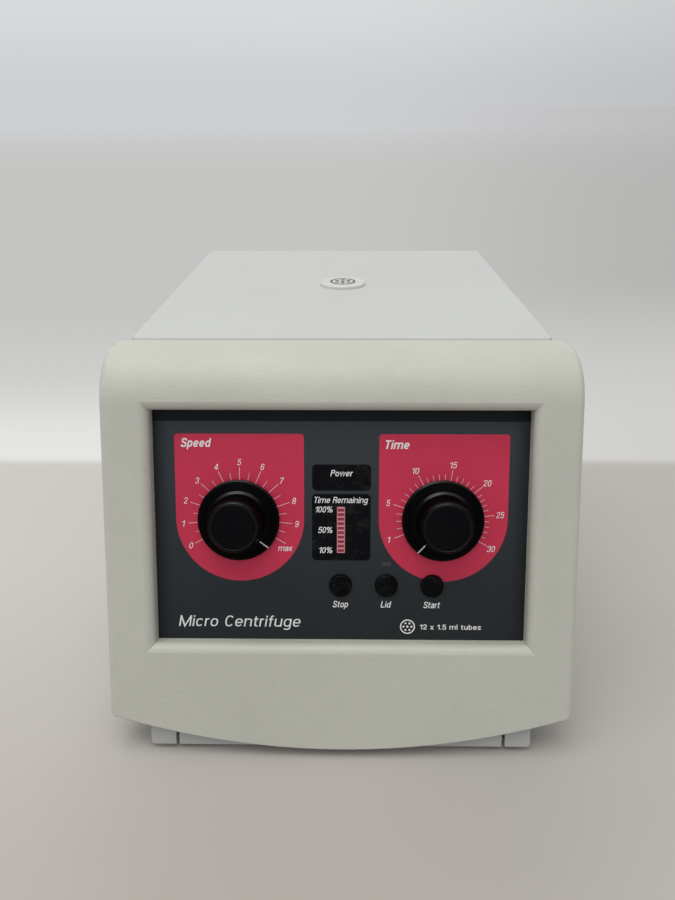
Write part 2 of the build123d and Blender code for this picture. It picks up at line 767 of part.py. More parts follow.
def lid_liner():
    dish_h = 8
    with BuildPart() as piece:
        with BuildSketch(level(LINER_Z)):
            with Locations((0, (LINER_FRONT_Y + LINER_REAR_Y) / 2)):
                RectangleRounded(
                    2 * (LID_HALF - LID_WALL - 0.5), LINER_REAR_Y - LINER_FRONT_Y, 2
                )
        extrude(amount=LINER_T)
        # raised dish over the rotor
        with BuildSketch(level(LINER_TOP_Z)):
            with Locations(ROTOR_XY):
                Circle(66)
        extrude(amount=dish_h)
        with BuildSketch(level(LINER_Z)):
            with Locations(ROTOR_XY):
                Circle(63.5)
        extrude(amount=dish_h, mode=CUT)
        # screw holes
        with BuildSketch(level(LINER_Z)):
            with Locations(*LINER_SCREWS):
                Circle(1.8)
        extrude(amount=LINER_T, mode=CUT)
    return piece.part


def lid_screws():
    with BuildPart() as piece:
        with BuildSketch(level(LINER_Z - LINER_HEAD_H)):
            with Locations(*LINER_SCREWS):
                Circle(3)
        extrude(amount=LINER_HEAD_H)
        with BuildSketch(level(LINER_Z)):
            with Locations(*LINER_SCREWS):
                Circle(1.35)
        extrude(amount=9)
        with BuildSketch(level(LINER_Z - LINER_HEAD_H)):
            with Locations(*LINER_SCREWS):
                cross(3.6, 0.7)
        extrude(amount=0.8, mode=CUT)
    return piece.part


def lid_badge():
    with BuildPart() as piece:
        with BuildSketch(level(LID_TOP_Z - BADGE_RECESS)):
            with Locations(ROTOR_XY):
                Circle(BADGE_R)
        extrude(amount=BADGE_RECESS + BADGE_H)
        fillet(piece.edges().filter_by(GeomType.CIRCLE).group_by(Axis.Z)[-1], 0.7)
    return piece.part


def lid_hinge_arms():
    """Arms under the lid, outside the brackets."""
    with BuildPart() as piece:
        for side in SIDES:
            with BuildSketch(Plane.YZ.offset(side * (ARM_X + ARM_W / 2) - ARM_W / 2)):
                with BuildLine():
                    Polyline(
                        (HINGE_Y + ARM_R, HINGE_Z), (HINGE_Y + ARM_R, LID_UNDER_Z),
                        (HINGE_Y - 12, LID_UNDER_Z), (HINGE_Y - ARM_R, HINGE_Z),
                    )
                    ThreePointArc(
                        (HINGE_Y - ARM_R, HINGE_Z), (HINGE_Y, HINGE_Z - ARM_R),
                        (HINGE_Y + ARM_R, HINGE_Z),
                    )
                make_face()
                with Locations((HINGE_Y, HINGE_Z)):
                    Circle(PIN_R + 0.05, mode=CUT)
            extrude(amount=ARM_W)
    return piece.part


def hinge_brackets():
    """Brackets standing in the hinge trough."""
    with BuildPart() as piece:
        for side in SIDES:
            with BuildSketch(Plane.YZ.offset(side * HINGE_X - BRACKET_W / 2)):
                with BuildLine():
                    Polyline(
                        (HINGE_Y + BRACKET_R, HINGE_Z), (HINGE_Y + BRACKET_R, TROUGH_Z),
                        (HINGE_Y - 5.5, TROUGH_Z), (HINGE_Y - BRACKET_R, HINGE_Z),
                    )
                    ThreePointArc(
                        (HINGE_Y - BRACKET_R, HINGE_Z), (HINGE_Y, HINGE_Z + BRACKET_R),
                        (HINGE_Y + BRACKET_R, HINGE_Z),
                    )
                make_face()
                with Locations((HINGE_Y, HINGE_Z)):
                    Circle(PIN_R, mode=CUT)
            extrude(amount=BRACKET_W)
    return piece.part


def hinge_pins():
    inner_x = HINGE_X - BRACKET_W / 2 - PIN_END
    outer_x = ARM_X + ARM_W + PIN_END
    with BuildPart() as piece:
        for start_x in (-outer_x, inner_x):
            with BuildSketch(Plane.YZ.offset(start_x)):
                with Locations((HINGE_Y, HINGE_Z)):
                    Circle(PIN_R)
            extrude(amount=outer_x - inner_x)
    return piece.part


def lid_striker():
    blade_bottom = 150.0
    with BuildPart() as piece:
        with BuildSketch(level(STRIKER_Z)):
            with Locations((0, -40.5)):
                Rectangle(18, 8)
        extrude(amount=LINER_Z - STRIKER_Z)
        with BuildSketch(level(blade_bottom)):
            with Locations((0, -42.8)):
                Rectangle(2.6, 6.4)
        extrude(amount=STRIKER_Z - blade_bottom)
        # eye for the bolt
        with BuildSketch(Plane.YZ.offset(-3)):
            with Locations(BOLT_YZ):
                Circle(2.6)
        extrude(amount=6, mode=CUT)
    return piece.part


# ---------------------------------------------------------------- latch
BOLT_R = 2.1
BOLT_BORE_R = 2.15
LATCH_BOTTOM_Z = 142
LATCH_PARTS_Z = 146             # underside of the solenoid and lid switch


def latch_housing():
    with BuildPart() as piece:
        with BuildSketch(level(LATCH_BOTTOM_Z)):
            with Locations((0, LATCH_Y)):
                Rectangle(28, 16)
        extrude(amount=DECK_UNDER_Z - LATCH_BOTTOM_Z)
        # pocket for the striker
        with BuildSketch(level(LATCH_BOTTOM_Z + 3)):
            with Locations((0, LATCH_Y)):
                Rectangle(9, 12)
        extrude(amount=20, mode=CUT)
        with BuildSketch(Plane.YZ.offset(-16)):
            with Locations(BOLT_YZ):
                Circle(BOLT_BORE_R)
        extrude(amount=32, mode=CUT)
    return piece.part


def latch_bolt():
    with BuildPart() as piece:
        with BuildSketch(Plane.YZ.offset(4.0)):
            with Locations(BOLT_YZ):
                Circle(BOLT_R)
        extrude(amount=28)
        chamfer(piece.edges().filter_by(GeomType.CIRCLE).group_by(Axis.X)[0], 0.6)
    return piece.part


def latch_solenoid():
    with BuildPart() as piece:
        with BuildSketch(level(LATCH_PARTS_Z)):
            with Locations((29, LATCH_Y)):
                Rectangle(30, 16)
        extrude(amount=DECK_UNDER_Z - LATCH_PARTS_Z)
        with BuildSketch(Plane.YZ.offset(13)):
            with Locations(BOLT_YZ):
                Circle(BOLT_BORE_R)
        extrude(amount=26, mode=CUT)
    return piece.part


def lid_switch():
    with BuildPart() as piece:
        with BuildSketch(level(LATCH_PARTS_Z)):
            with Locations((-24, LATCH_Y)):
                Rectangle(20, 8)
        extrude(amount=DECK_UNDER_Z - LATCH_PARTS_Z)
    return piece.part


# ---------------------------------------------------------------- control panel
OVERLAY = 0.4                   # overlay thickness
PLATE = 2.0                     # plate thickness
PLATE_BACK = PANEL_DEPTH + OVERLAY + PLATE      # depths behind the face
BOARD_DEPTH = PANEL_DEPTH + 9.2                 # front of the control board
BOARD_T = 1.6
BOARD_HOLES = pairs(76, (68, 146))

# windows: middle (x, s) and cut-out (width, height)
POWER_WINDOW_AT, POWER_WINDOW_SIZE = (0.4, 134.05), (28.2, 12.7)
TIME_WINDOW_AT, TIME_WINDOW_SIZE = (0.3, 109.7), (28.2, 32.7)
WINDOW_CORNER_R = 2.2
WINDOW_GAP = 0.1                # panes are this much smaller than the cut-outs
PANE_CORNER_R = WINDOW_CORNER_R - WINDOW_GAP / 2
PANE_T = PLATE + OVERLAY + 0.2
BARGRAPH_AT, BARGRAPH_SIZE = (0.2, 108.5), (4.2, 23.0)
LID_LED_AT, LID_LED_SIZE = (22.3, 91.7), (4.8, 2.4)
POWER_LED_AT = (0, 134.2)

KNOB_X = 49.1
KNOB_S = 113.4
KNOBS_AT = [(-KNOB_X, KNOB_S), (KNOB_X, KNOB_S)]
KNOB_SKIRT_R = 19.7
KNOB_CAP_R = 11.6
KNOB_H = 17.5
KNOB_BORE_TOP = 13.0            # heights above the panel
KNOB_RECESS = 0.8               # for the cap
BUSHING_R = 4.8
KNOB_SHAFT_R = 3.0

BUTTON_R = 5.55
BUTTON_S = 80.8
BUTTON_XS = (0.0, 22.3, 44.6)
BUTTONS_AT = [(x, BUTTON_S) for x in BUTTON_XS]
BUTTON_FLANGE = 1.3             # room for the flange behind the plate
BUTTON_TRAVEL = 1.2
BUTTON_BACK = PLATE_BACK + BUTTON_FLANGE

PANEL_HEAD_H = 1.6


def panel_sheet(back, thickness, margin):
    """Sheet with all the panel's cut-outs; margin is how much larger it is than the recess."""
    with BuildPart() as piece:
        with BuildSketch(face_plane(back)):
            with Locations((0, APERTURE_MID)):
                Rectangle(2 * APERTURE_HALF + margin, 2 * APERTURE_HIGH + margin)
            with Locations(*KNOBS_AT):
                Circle(BUSHING_R + 0.1, mode=CUT)
            with Locations(*BUTTONS_AT):
                Circle(BUTTON_R + 0.1, mode=CUT)
            with Locations(POWER_WINDOW_AT):
                RectangleRounded(*POWER_WINDOW_SIZE, WINDOW_CORNER_R, mode=CUT)
            with Locations(TIME_WINDOW_AT):
                RectangleRounded(*TIME_WINDOW_SIZE, WINDOW_CORNER_R, mode=CUT)
            with Locations(LID_LED_AT):
                Rectangle(*LID_LED_SIZE, mode=CUT)
            with Locations(*PANEL_SCREWS):
                Circle(1.4, mode=CUT)
        extrude(amount=thickness)
    return piece.part


def panel_overlay():
    return panel_sheet(PANEL_DEPTH + OVERLAY, OVERLAY, margin=11)


def panel_plate():
    return panel_sheet(PLATE_BACK, PLATE, margin=12)


def panel_screws():
    """Screws driven from behind the plate into the bezel."""
    with BuildPart() as piece:
        with BuildSketch(face_plane(PLATE_BACK + PANEL_HEAD_H)):
            with Locations(*PANEL_SCREWS):
                Circle(2.6)
        extrude(amount=PANEL_HEAD_H)
        with BuildSketch(face_plane(PLATE_BACK)):
            with Locations(*PANEL_SCREWS):
                Circle(PANEL_SCREW_R)
        extrude(amount=PLATE + OVERLAY + 4.0)
        with BuildSketch(face_plane(PLATE_BACK + PANEL_HEAD_H)):
            with Locations(*PANEL_SCREWS):
                cross(3.2, 0.6)
        extrude(amount=0.9, mode=CUT)
    return piece.part


def power_window():
    width, height = POWER_WINDOW_SIZE
    with BuildPart() as piece:
        with BuildSketch(face_plane(PLATE_BACK)):
            with Locations(POWER_WINDOW_AT):
                RectangleRounded(width - WINDOW_GAP, height - WINDOW_GAP, PANE_CORNER_R)
        extrude(amount=PANE_T)
        fillet(piece.faces().sort_by(Axis((0, 0, 0), OUT_OF_FACE))[-1].edges(), 0.18)
    return piece.part


def time_window():
    width, height = TIME_WINDOW_SIZE
    with BuildPart() as piece:
        with BuildSketch(face_plane(PLATE_BACK)):
            with Locations(TIME_WINDOW_AT):
                RectangleRounded(width - WINDOW_GAP, height - WINDOW_GAP, PANE_CORNER_R)
            with Locations(BARGRAPH_AT):
                Rectangle(*BARGRAPH_SIZE, mode=CUT)
        extrude(amount=PANE_T)
    return piece.part


def bargraph_display():
    width, height = BARGRAPH_SIZE
    with BuildPart() as piece:
        with BuildSketch(face_plane(BOARD_DEPTH)):
            with Locations(BARGRAPH_AT):
                Rectangle(width - 0.1, height - 0.1)
        extrude(amount=BOARD_DEPTH - PANEL_DEPTH + 0.05)
    return piece.part


def indicator_leds():
    width, height = LID_LED_SIZE
    with BuildPart() as piece:
        with BuildSketch(face_plane(BOARD_DEPTH)):
            with Locations(POWER_LED_AT):
                Circle(2.5)
        extrude(amount=BOARD_DEPTH - PLATE_BACK - 0.1)
        with BuildSketch(face_plane(BOARD_DEPTH)):
            with Locations(LID_LED_AT):
                Rectangle(width - 0.1, height - 0.1)
        extrude(amount=BOARD_DEPTH - PANEL_DEPTH + 0.1)
    return piece.part


def potentiometer(x):
    with BuildPart() as piece:
        with BuildSketch(face_plane(BOARD_DEPTH)):
            with Locations((x, KNOB_S)):
                Circle(11)
            with Locations((x, KNOB_S - 10)):
                Rectangle(12, 6)
        extrude(amount=BOARD_DEPTH - PLATE_BACK)
        # bushing through the panel
        with BuildSketch(face_plane(BOARD_DEPTH)):
            with Locations((x, KNOB_S)):
                Circle(BUSHING_R)
        extrude(amount=BOARD_DEPTH - (PANEL_DEPTH - 2.8))
        # bore for the shaft
        with BuildSketch(face_plane(BOARD_DEPTH - 1.5)):
            with Locations((x, KNOB_S)):
                Circle(KNOB_SHAFT_R + 0.05)
        extrude(amount=BOARD_DEPTH, mode=CUT)
    return piece.part


def knob_shaft(x):
    shaft_back = BOARD_DEPTH - 2.0
    with BuildPart() as piece:
        with BuildSketch(face_plane(shaft_back)):
            with Locations((x, KNOB_S)):
                Circle(KNOB_SHAFT_R)
        extrude(amount=shaft_back - (PANEL_DEPTH - KNOB_BORE_TOP))
    return piece.part


def knob(x):
    """Flat skirt, cone, tapered grip and a shallow recess for the cap."""
    foot = (x,) + face_yz(KNOB_S, PANEL_DEPTH)
    section = Plane(origin=foot, x_dir=(1, 0, 0), z_dir=(0, -SIN, -COS))
    recess_h = KNOB_H - KNOB_RECESS
    with BuildPart() as piece:
        with BuildSketch(section):
            with BuildLine():
                Polyline(               # radius, height above the panel
                    (KNOB_SHAFT_R, KNOB_BORE_TOP), (KNOB_SHAFT_R, 3.6), (8.8, 3.6), (8.8, 0.9),
                    (KNOB_SKIRT_R - 0.5, 0.9), (KNOB_SKIRT_R, 1.3),
                    (KNOB_SKIRT_R, 2.1), (KNOB_SKIRT_R - 0.7, 2.8),
                    (14.6, 4.4), (13.5, 5.4), (12.2, KNOB_H - 1.3),
                    (KNOB_CAP_R, KNOB_H - 0.3), (KNOB_CAP_R - 0.5, KNOB_H),
                    (KNOB_CAP_R - 0.9, KNOB_H), (KNOB_CAP_R - 1.0, recess_h),
                    (0, recess_h), (0, KNOB_BORE_TOP),
                    close=True,
                )
            make_face()
        revolve(axis=Axis(foot, OUT_OF_FACE))
    return piece.part


def knob_cap(x):
    with BuildPart() as piece:
        with BuildSketch(face_plane(PANEL_DEPTH - KNOB_H + KNOB_RECESS)):
            with Locations((x, KNOB_S)):
                Circle(KNOB_CAP_R - 1.1)
        extrude(amount=0.7)
    return piece.part


def potentiometer_nuts():
    with BuildPart() as piece:
        with BuildSketch(face_plane(PANEL_DEPTH)):
            with Locations(*KNOBS_AT):
                RegularPolygon(7.6, 6)
                Circle(BUSHING_R, mode=CUT)
        extrude(amount=2.3)
    return piece.part


def button(x):
    with BuildPart() as piece:
        # flange behind the plate, then the stem
        for radius, height in ((6.6, 1.25), (BUTTON_R, BUTTON_FLANGE + PLATE + OVERLAY + 2.0)):
            with BuildSketch(face_plane(BUTTON_BACK)):
                with Locations((x, BUTTON_S)):
                    Circle(radius)
            extrude(amount=height)
        fillet(piece.faces().sort_by(Axis((0, 0, 0), OUT_OF_FACE))[-1].edges(), 0.9)
    return piece.part


def button_switches():
    with BuildPart() as piece:
        with BuildSketch(face_plane(BOARD_DEPTH)):
            with Locations(*BUTTONS_AT):
                Rectangle(10, 10)
        extrude(amount=2.6)
        # plungers, just short of the pressed buttons
        with BuildSketch(face_plane(BOARD_DEPTH)):
            with Locations(*BUTTONS_AT):
                Circle(2.4)
        extrude(amount=BOARD_DEPTH - (BUTTON_BACK + BUTTON_TRAVEL + 0.05))
    return piece.part


def control_board():
    with BuildPart() as piece:
        with BuildSketch(face_plane(BOARD_DEPTH + BOARD_T)):
            with Locations((0, 107)):
                Rectangle(166, 92)
            with Locations(*BOARD_HOLES):
                Circle(1.6, mode=CUT)
        extrude(amount=BOARD_T)
    return piece.part


def board_spacers():
    with BuildPart() as piece:
        with BuildSketch(face_plane(BOARD_DEPTH)):
            with Locations(*BOARD_HOLES):
                Circle(3.2)
                Circle(1.5, mode=CUT)
        extrude(amount=BOARD_DEPTH - PLATE_BACK)
    return piece.part


# ---------------------------------------------------------------- power supply
SUPPLY_Y = -66
TRANSFORMER_XY = (60, SUPPLY_Y)
POWER_BOARD_XY = (-28, SUPPLY_Y)
POWER_BOARD_Z = 12.0
POWER_BOARD_TOP_Z = POWER_BOARD_Z + 1.6


def mains_transformer():
    with BuildPart() as piece:
        # core
        with BuildSketch(level(PAN_TOP_Z)):
            with Locations(TRANSFORMER_XY):
                Rectangle(48, 34)
        extrude(amount=40)
        # winding
        with BuildSketch(level(PAN_TOP_Z + 6)):
            with Locations(TRANSFORMER_XY):
                RectangleRounded(30, 50, 3)
        extrude(amount=28)
    return piece.part


def power_board():
    with BuildPart() as piece:
        with BuildSketch(level(POWER_BOARD_Z)):
            with Locations(POWER_BOARD_XY):
                Rectangle(100, 52)
        extrude(amount=POWER_BOARD_TOP_Z - POWER_BOARD_Z)
        # standoffs
        with BuildSketch(level(PAN_TOP_Z)):
            with Locations(POWER_BOARD_XY):
                with GridLocations(92, 44, 2, 2):
                    Circle(2.8)
        extrude(amount=POWER_BOARD_Z - PAN_TOP_Z)
        # two upright cylinders
        with BuildSketch(level(POWER_BOARD_TOP_Z)):
            with Locations((-60, SUPPLY_Y), (-42, SUPPLY_Y)):
                Circle(7.5)
        extrude(amount=24)
        # finned block
        with BuildSketch(level(POWER_BOARD_TOP_Z)):
            with Locations((4, SUPPLY_Y - 6)):
                Rectangle(22, 3)
            with Locations((4, SUPPLY_Y)):
                with GridLocations(4, 1, 5, 1):
                    Rectangle(1.2, 12)
        extrude(amount=18)
    return piece.part


# ---------------------------------------------------------------- rear panel
REAR_FLANGE = 1.5               # flanges of the switch and fuse holder


def mains_inlet():
    with BuildPart() as piece:
        with BuildSketch(rear_plane(BODY_REAR_Y)):
            with Locations(INLET_XZ):
                RectangleRounded(31, 24, 2)
        extrude(amount=-(LID_REAR_Y - BODY_REAR_Y))
        with BuildSketch(rear_plane(BODY_REAR_Y)):
            with Locations(INLET_XZ):
                Rectangle(*INLET_SIZE)
        extrude(amount=20)
        with BuildSketch(rear_plane(LID_REAR_Y)):
            with Locations(INLET_XZ):
                RectangleRounded(24.2, 16.4, 3)
        extrude(amount=15, mode=CUT)
        # contact pins
        with BuildSketch(rear_plane(BODY_REAR_Y - 14)):
            with Locations((-65, 40), (-58, 43.5), (-51, 40)):
                Rectangle(2, 4)
        extrude(amount=-11)
    return piece.part


def power_switch_frame():
    with BuildPart() as piece:
        with BuildSketch(rear_plane(BODY_REAR_Y)):
            with Locations(SWITCH_XZ):
                RectangleRounded(22, 16, 1.5)
        extrude(amount=-REAR_FLANGE)
        with BuildSketch(rear_plane(BODY_REAR_Y)):
            with Locations(SWITCH_XZ):
                Rectangle(*SWITCH_SIZE)
        extrude(amount=16)
        with BuildSketch(rear_plane(BODY_REAR_Y + REAR_FLANGE)):
            with Locations(SWITCH_XZ):
                Rectangle(16.6, 10.4)
        extrude(amount=14, mode=CUT)
    return piece.part


def power_rocker():
    height = 10.2
    pivot_y = BODY_REAR_Y - 5.0
    tilt_sin, tilt_cos = math.sin(math.radians(8)), math.cos(math.radians(8))
    # untilted outline about the pivot: across, rearward
    outline = [(-7.2, -2), (-7.2, 5.0), (0, 3.9), (7.2, 5.0), (7.2, -2), (0, -4.6)]
    tilted = [
        (
            SWITCH_X + across * tilt_cos - rearward * tilt_sin,
            pivot_y + across * tilt_sin + rearward * tilt_cos,
        )
        for across, rearward in outline
    ]
    with BuildPart() as piece:
        with BuildSketch(level(CONNECTOR_Z - height / 2)):
            with BuildLine():
                Polyline(*tilted, close=True)
            make_face()
        extrude(amount=height)
    return piece.part


def fuse_holder():
    with BuildPart() as piece:
        with BuildSketch(rear_plane(BODY_REAR_Y)):
            with Locations(FUSE_XZ):
                Circle(8)
        extrude(amount=-REAR_FLANGE)
        with BuildSketch(rear_plane(BODY_REAR_Y)):
            with Locations(FUSE_XZ):
                Circle(FUSE_R)
        extrude(amount=26)
        # slot across the cap
        with BuildSketch(rear_plane(BODY_REAR_Y + REAR_FLANGE)):
            with Locations(FUSE_XZ):
                Rectangle(8, 1.2)
        extrude(amount=1.2, mode=CUT)
    return piece.part


# ---------------------------------------------------------------- save every piece
# each piece is saved under its function's name
for build in (
    base_pan, rubber_feet, foot_screws,
    front_bezel, housing_cover, housing_screws,
    chamber_bowl, chamber_gasket, shaft_grommet,
    motor_posts, isolation_mounts, motor_plate, motor_housing, motor_end_cap,
    motor_bearings, motor_stator, motor_armature, drive_shaft,
    rotor, rotor_nut,
    lid_cover, lid_liner, lid_screws, lid_badge,
    lid_hinge_arms, hinge_brackets, hinge_pins, lid_striker,
    latch_housing, latch_bolt, latch_solenoid, lid_switch,
    panel_overlay, panel_plate, panel_screws, power_window, time_window,
    bargraph_display, indicator_leds, potentiometer_nuts, button_switches,
    control_board, board_spacers,
    mains_transformer, power_board,
    mains_inlet, power_switch_frame, power_rocker, fuse_holder,
):
    save(build(), build.__name__)

for x, label in ((-KNOB_X, "speed"), (KNOB_X, "time")):
    save(potentiometer(x), f"{label}_potentiometer")
    save(knob_shaft(x), f"{label}_shaft")
    save(knob(x), f"{label}_knob")
    save(knob_cap(x), f"{label}_knob_cap")

for x, label in zip(BUTTON_XS, ("stop", "lid", "start")):
    save(button(x), f"{label}_button")
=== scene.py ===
"""Benchtop microcentrifuge: finishes for every CAD node, the printed control panel, the knob
pointers and the badge mark, on a pale floor.

Metres, +Z up. The control face is at the front (-Y) and leans back; +X is to the right
as seen from the front.
"""
import math

import bmesh
import bpy
from mathutils import Matrix, Vector


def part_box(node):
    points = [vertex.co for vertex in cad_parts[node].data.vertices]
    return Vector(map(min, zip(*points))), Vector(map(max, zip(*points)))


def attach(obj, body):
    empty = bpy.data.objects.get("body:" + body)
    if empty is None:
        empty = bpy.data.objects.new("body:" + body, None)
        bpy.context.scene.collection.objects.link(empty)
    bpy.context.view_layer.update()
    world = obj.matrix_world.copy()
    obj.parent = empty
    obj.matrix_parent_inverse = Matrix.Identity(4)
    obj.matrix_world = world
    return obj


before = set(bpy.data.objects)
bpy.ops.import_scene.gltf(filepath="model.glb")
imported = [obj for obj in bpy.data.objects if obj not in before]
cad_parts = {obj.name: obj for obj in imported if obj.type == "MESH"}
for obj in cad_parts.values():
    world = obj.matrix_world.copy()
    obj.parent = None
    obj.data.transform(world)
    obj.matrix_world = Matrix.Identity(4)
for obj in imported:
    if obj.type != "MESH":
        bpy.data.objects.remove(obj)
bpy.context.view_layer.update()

MM = 0.001

# ---------------------------------------------------------------- face frame
# Points on the control face are given as x across, s up the face and h out of the
# panel film, all in millimetres.
LEAN = math.radians(20.55)
SIN, COS = math.sin(LEAN), math.cos(LEAN)
FOOT_Y, FOOT_Z = -153.9, 4.0
PANEL_DEPTH = 9.0
UP = Vector((0, SIN, COS))
OUT = Vector((0, -COS, SIN))
FACE_ORIGIN = Vector((0, FOOT_Y + PANEL_DEPTH * COS, FOOT_Z - PANEL_DEPTH * SIN)) * MM
FACE = Matrix((
    (1, 0, 0, FACE_ORIGIN.x),
    (0, UP.y, OUT.y, FACE_ORIGIN.y),
    (0, UP.z, OUT.z, FACE_ORIGIN.z),
    (0, 0, 0, 1),
))

ROTOR_X, ROTOR_Y = 0.0, 0.0456  # vertical axis of the turned metal, metres


# ---------------------------------------------------------------- node helpers
def srgb(red, green, blue):
    """Linear colour of an 8-bit display colour."""
    def linear(level):
        level = level / 255.0
        return level / 12.92 if level <= 0.04045 else ((level + 0.055) / 1.055) ** 2.4
    return (linear(red), linear(green), linear(blue), 1.0)


def shade(colour, factor):
    """The colour made brighter or darker by a factor."""
    return tuple(min(level * factor, 1) for level in colour[:3]) + (1.0,)


class Net:
    """The node tree of a material or world, with short calls for the nodes used here.

    place is the coordinate socket that patterns use unless given another.
    """

    def __init__(self, owner):
        owner.use_nodes = True
        self.owner = owner
        self.tree = owner.node_tree
        self.tree.nodes.clear()
        self.place = None

    def link(self, source, target):
        self.tree.links.new(source, target)

    def put(self, value, socket):
        """Link a socket, or set a plain value."""
        if isinstance(value, bpy.types.NodeSocket):
            self.link(value, socket)
        else:
            socket.default_value = value

    def add(self, kind, inputs=None, **settings):
        """A new node with its settings, and its inputs keyed by name or number."""
        node = self.tree.nodes.new(kind)
        for key, value in settings.items():
            setattr(node, key, value)
        for key, value in (inputs or {}).items():
            self.put(value, node.inputs[key])
        return node

    def noise(self, scale, detail=2.0, rough=0.5, place=None):
        inputs = {"Scale": scale, "Detail": detail, "Roughness": rough,
                  "Vector": place or self.place}
        return self.add("ShaderNodeTexNoise", inputs).outputs["Fac"]

    def remap(self, value, band, to=(0.0, 1.0), smooth=False):
        """Carry the values in band over to the range to, clamped."""
        inputs = {"Value": value, "From Min": band[0], "From Max": band[1],
                  "To Min": to[0], "To Max": to[1]}
        kind = "SMOOTHSTEP" if smooth else "LINEAR"
        node = self.add("ShaderNodeMapRange", inputs, interpolation_type=kind)
        return node.outputs["Result"]

    def cloud(self, scale, detail=2.0, rough=0.5, band=(0.3, 0.7), to=(0.0, 1.0), place=None):
        """Noise whose values in band are carried over to the range to."""
        return self.remap(self.noise(scale, detail, rough, place), band, to)

    def cells(self, scale, smooth=None, randomness=1.0):
        """Distance to cell centres, rounded off where smooth is given."""
        inputs = {"Scale": scale, "Randomness": randomness, "Vector": self.place}
        if smooth is not None:
            inputs["Smoothness"] = smooth
        feature = "F1" if smooth is None else "SMOOTH_F1"
        return self.add("ShaderNodeTexVoronoi", inputs, feature=feature).outputs["Distance"]

    def math(self, operation, first, second=0.0):
        inputs = {0: first, 1: second, 2: 0.0}
        return self.add("ShaderNodeMath", inputs, operation=operation).outputs[0]

    def plus(self, total, *others):
        for other in others:
            total = self.math("ADD", total, other)
        return total

    def times(self, first, second):
        return self.math("MULTIPLY", first, second)

    def vector_math(self, operation, first, second):
        return self.add("ShaderNodeVectorMath", {0: first, 1: second}, operation=operation).outputs

    def mix(self, share, under, over, blend="MIX"):
        """Colour under with a share of colour over."""
        inputs = {0: share, 6: under, 7: over}
        return self.add("ShaderNodeMix", inputs, data_type="RGBA", blend_type=blend).outputs[2]

    def tones(self, share, base, low, high):
        """The base colour, between low and high times its brightness."""
        return self.mix(share, shade(base, low), shade(base, high))

    def bump(self, height, depth, normal=None):
        """A relief of the given depth in millimetres, over another normal if given."""
        inputs = {"Distance": depth * MM, "Height": height}
        if normal is not None:
            inputs["Normal"] = normal
        return self.add("ShaderNodeBump", inputs).outputs["Normal"]

    def bevel(self, radius):
        return self.add("ShaderNodeBevel", {"Radius": radius}, samples=4).outputs["Normal"]

    def edge(self, radius):
        """0 on open faces, up to 1 on sharp edges."""
        flat = self.add("ShaderNodeNewGeometry").outputs["Normal"]
        agreement = self.vector_math("DOT_PRODUCT", self.bevel(radius), flat)["Value"]
        return self.remap(agreement, band=(0.995, 0.86))

    def split(self, vector=None):
        return self.add("ShaderNodeSeparateXYZ", {0: vector or self.place}).outputs

    def stretch(self, x, y, z):
        inputs = {"Scale": (x, y, z), "Vector": self.place}
        return self.add("ShaderNodeMapping", inputs).outputs[0]


class Finish(Net):
    """A material around one principled shader, patterned in object coordinates."""

    SOCKETS = {"base": "Base Color", "rough": "Roughness", "metal": "Metallic",
               "spec": "Specular IOR Level", "coat": "Coat Weight",
               "coat_rough": "Coat Roughness", "normal": "Normal"}

    def __init__(self, name):
        super().__init__(bpy.data.materials.new(name))
        self.surface = self.add("ShaderNodeOutputMaterial").inputs["Surface"]
        self.shader = self.add("ShaderNodeBsdfPrincipled")
        self.link(self.shader.outputs["BSDF"], self.surface)
        self.place = self.add("ShaderNodeTexCoord").outputs["Object"]

    def done(self, **values):
        """Feed the shader and return the material."""
        for key, value in values.items():
            self.put(value, self.shader.inputs[self.SOCKETS[key]])
        return self.owner


# ---------------------------------------------------------------- kinds of finish
# Noise and cell scales are per metre. Bevel and edge radii are in metres, while grain
# cells, pitches and relief depths are in millimetres.
def moulded(name, base, rough, cell, depth, mottle, fine=0.02, edge_light=1.08, soil=0.04,
            spec=0.45):
    """Moulded plastic: leather grain, slight mottling, rubbed edges and a trace of soiling."""
    radius = 0.0006
    net = Finish(name)
    cells = net.cells(1000.0 / cell, smooth=0.5)
    warp = net.noise(scale=1000.0 / (cell * 2.2), detail=3, rough=0.6)
    grain = net.plus(net.times(cells, -1.0), net.times(warp, 0.8))
    tone = net.plus(
        net.cloud(scale=14, detail=3, rough=0.55, to=(-mottle, mottle)),
        net.cloud(scale=90, detail=3, rough=0.6, to=(-mottle * 0.4, mottle * 0.4)),
        net.cloud(scale=2600, rough=0.6, to=(-mottle * 0.45, mottle * 0.45)),
        # the grain's valleys hold a little less light than its tops
        net.remap(cells, band=(0.15, 0.8), to=(mottle * 0.35, -mottle * 0.5)))
    colour = net.tones(net.remap(tone, band=(-0.12, 0.12)), base, low=0.88, high=1.12)
    dust = net.cloud(scale=35, detail=5, rough=0.65, band=(0.58, 0.8), to=(0.0, soil))
    dust_colour = (base[0] * 0.62, base[1] * 0.58, base[2] * 0.5, 1)
    colour = net.mix(dust, colour, dust_colour)
    edge = net.edge(radius)
    rubbed = net.cloud(scale=260, detail=4, rough=0.7, band=(0.35, 0.65), to=(0.25, 1.0))
    colour = net.mix(net.times(edge, rubbed), colour, shade(base, edge_light))
    sheen = net.cloud(scale=40, detail=4, rough=0.6, to=(rough - 0.05, rough + 0.06))
    normal = net.bump(grain, depth, net.bevel(radius))
    normal = net.bump(net.noise(scale=6000), fine, normal)
    return net.done(base=colour, rough=net.plus(sheen, net.times(edge, -0.1)), spec=spec,
                    normal=normal)


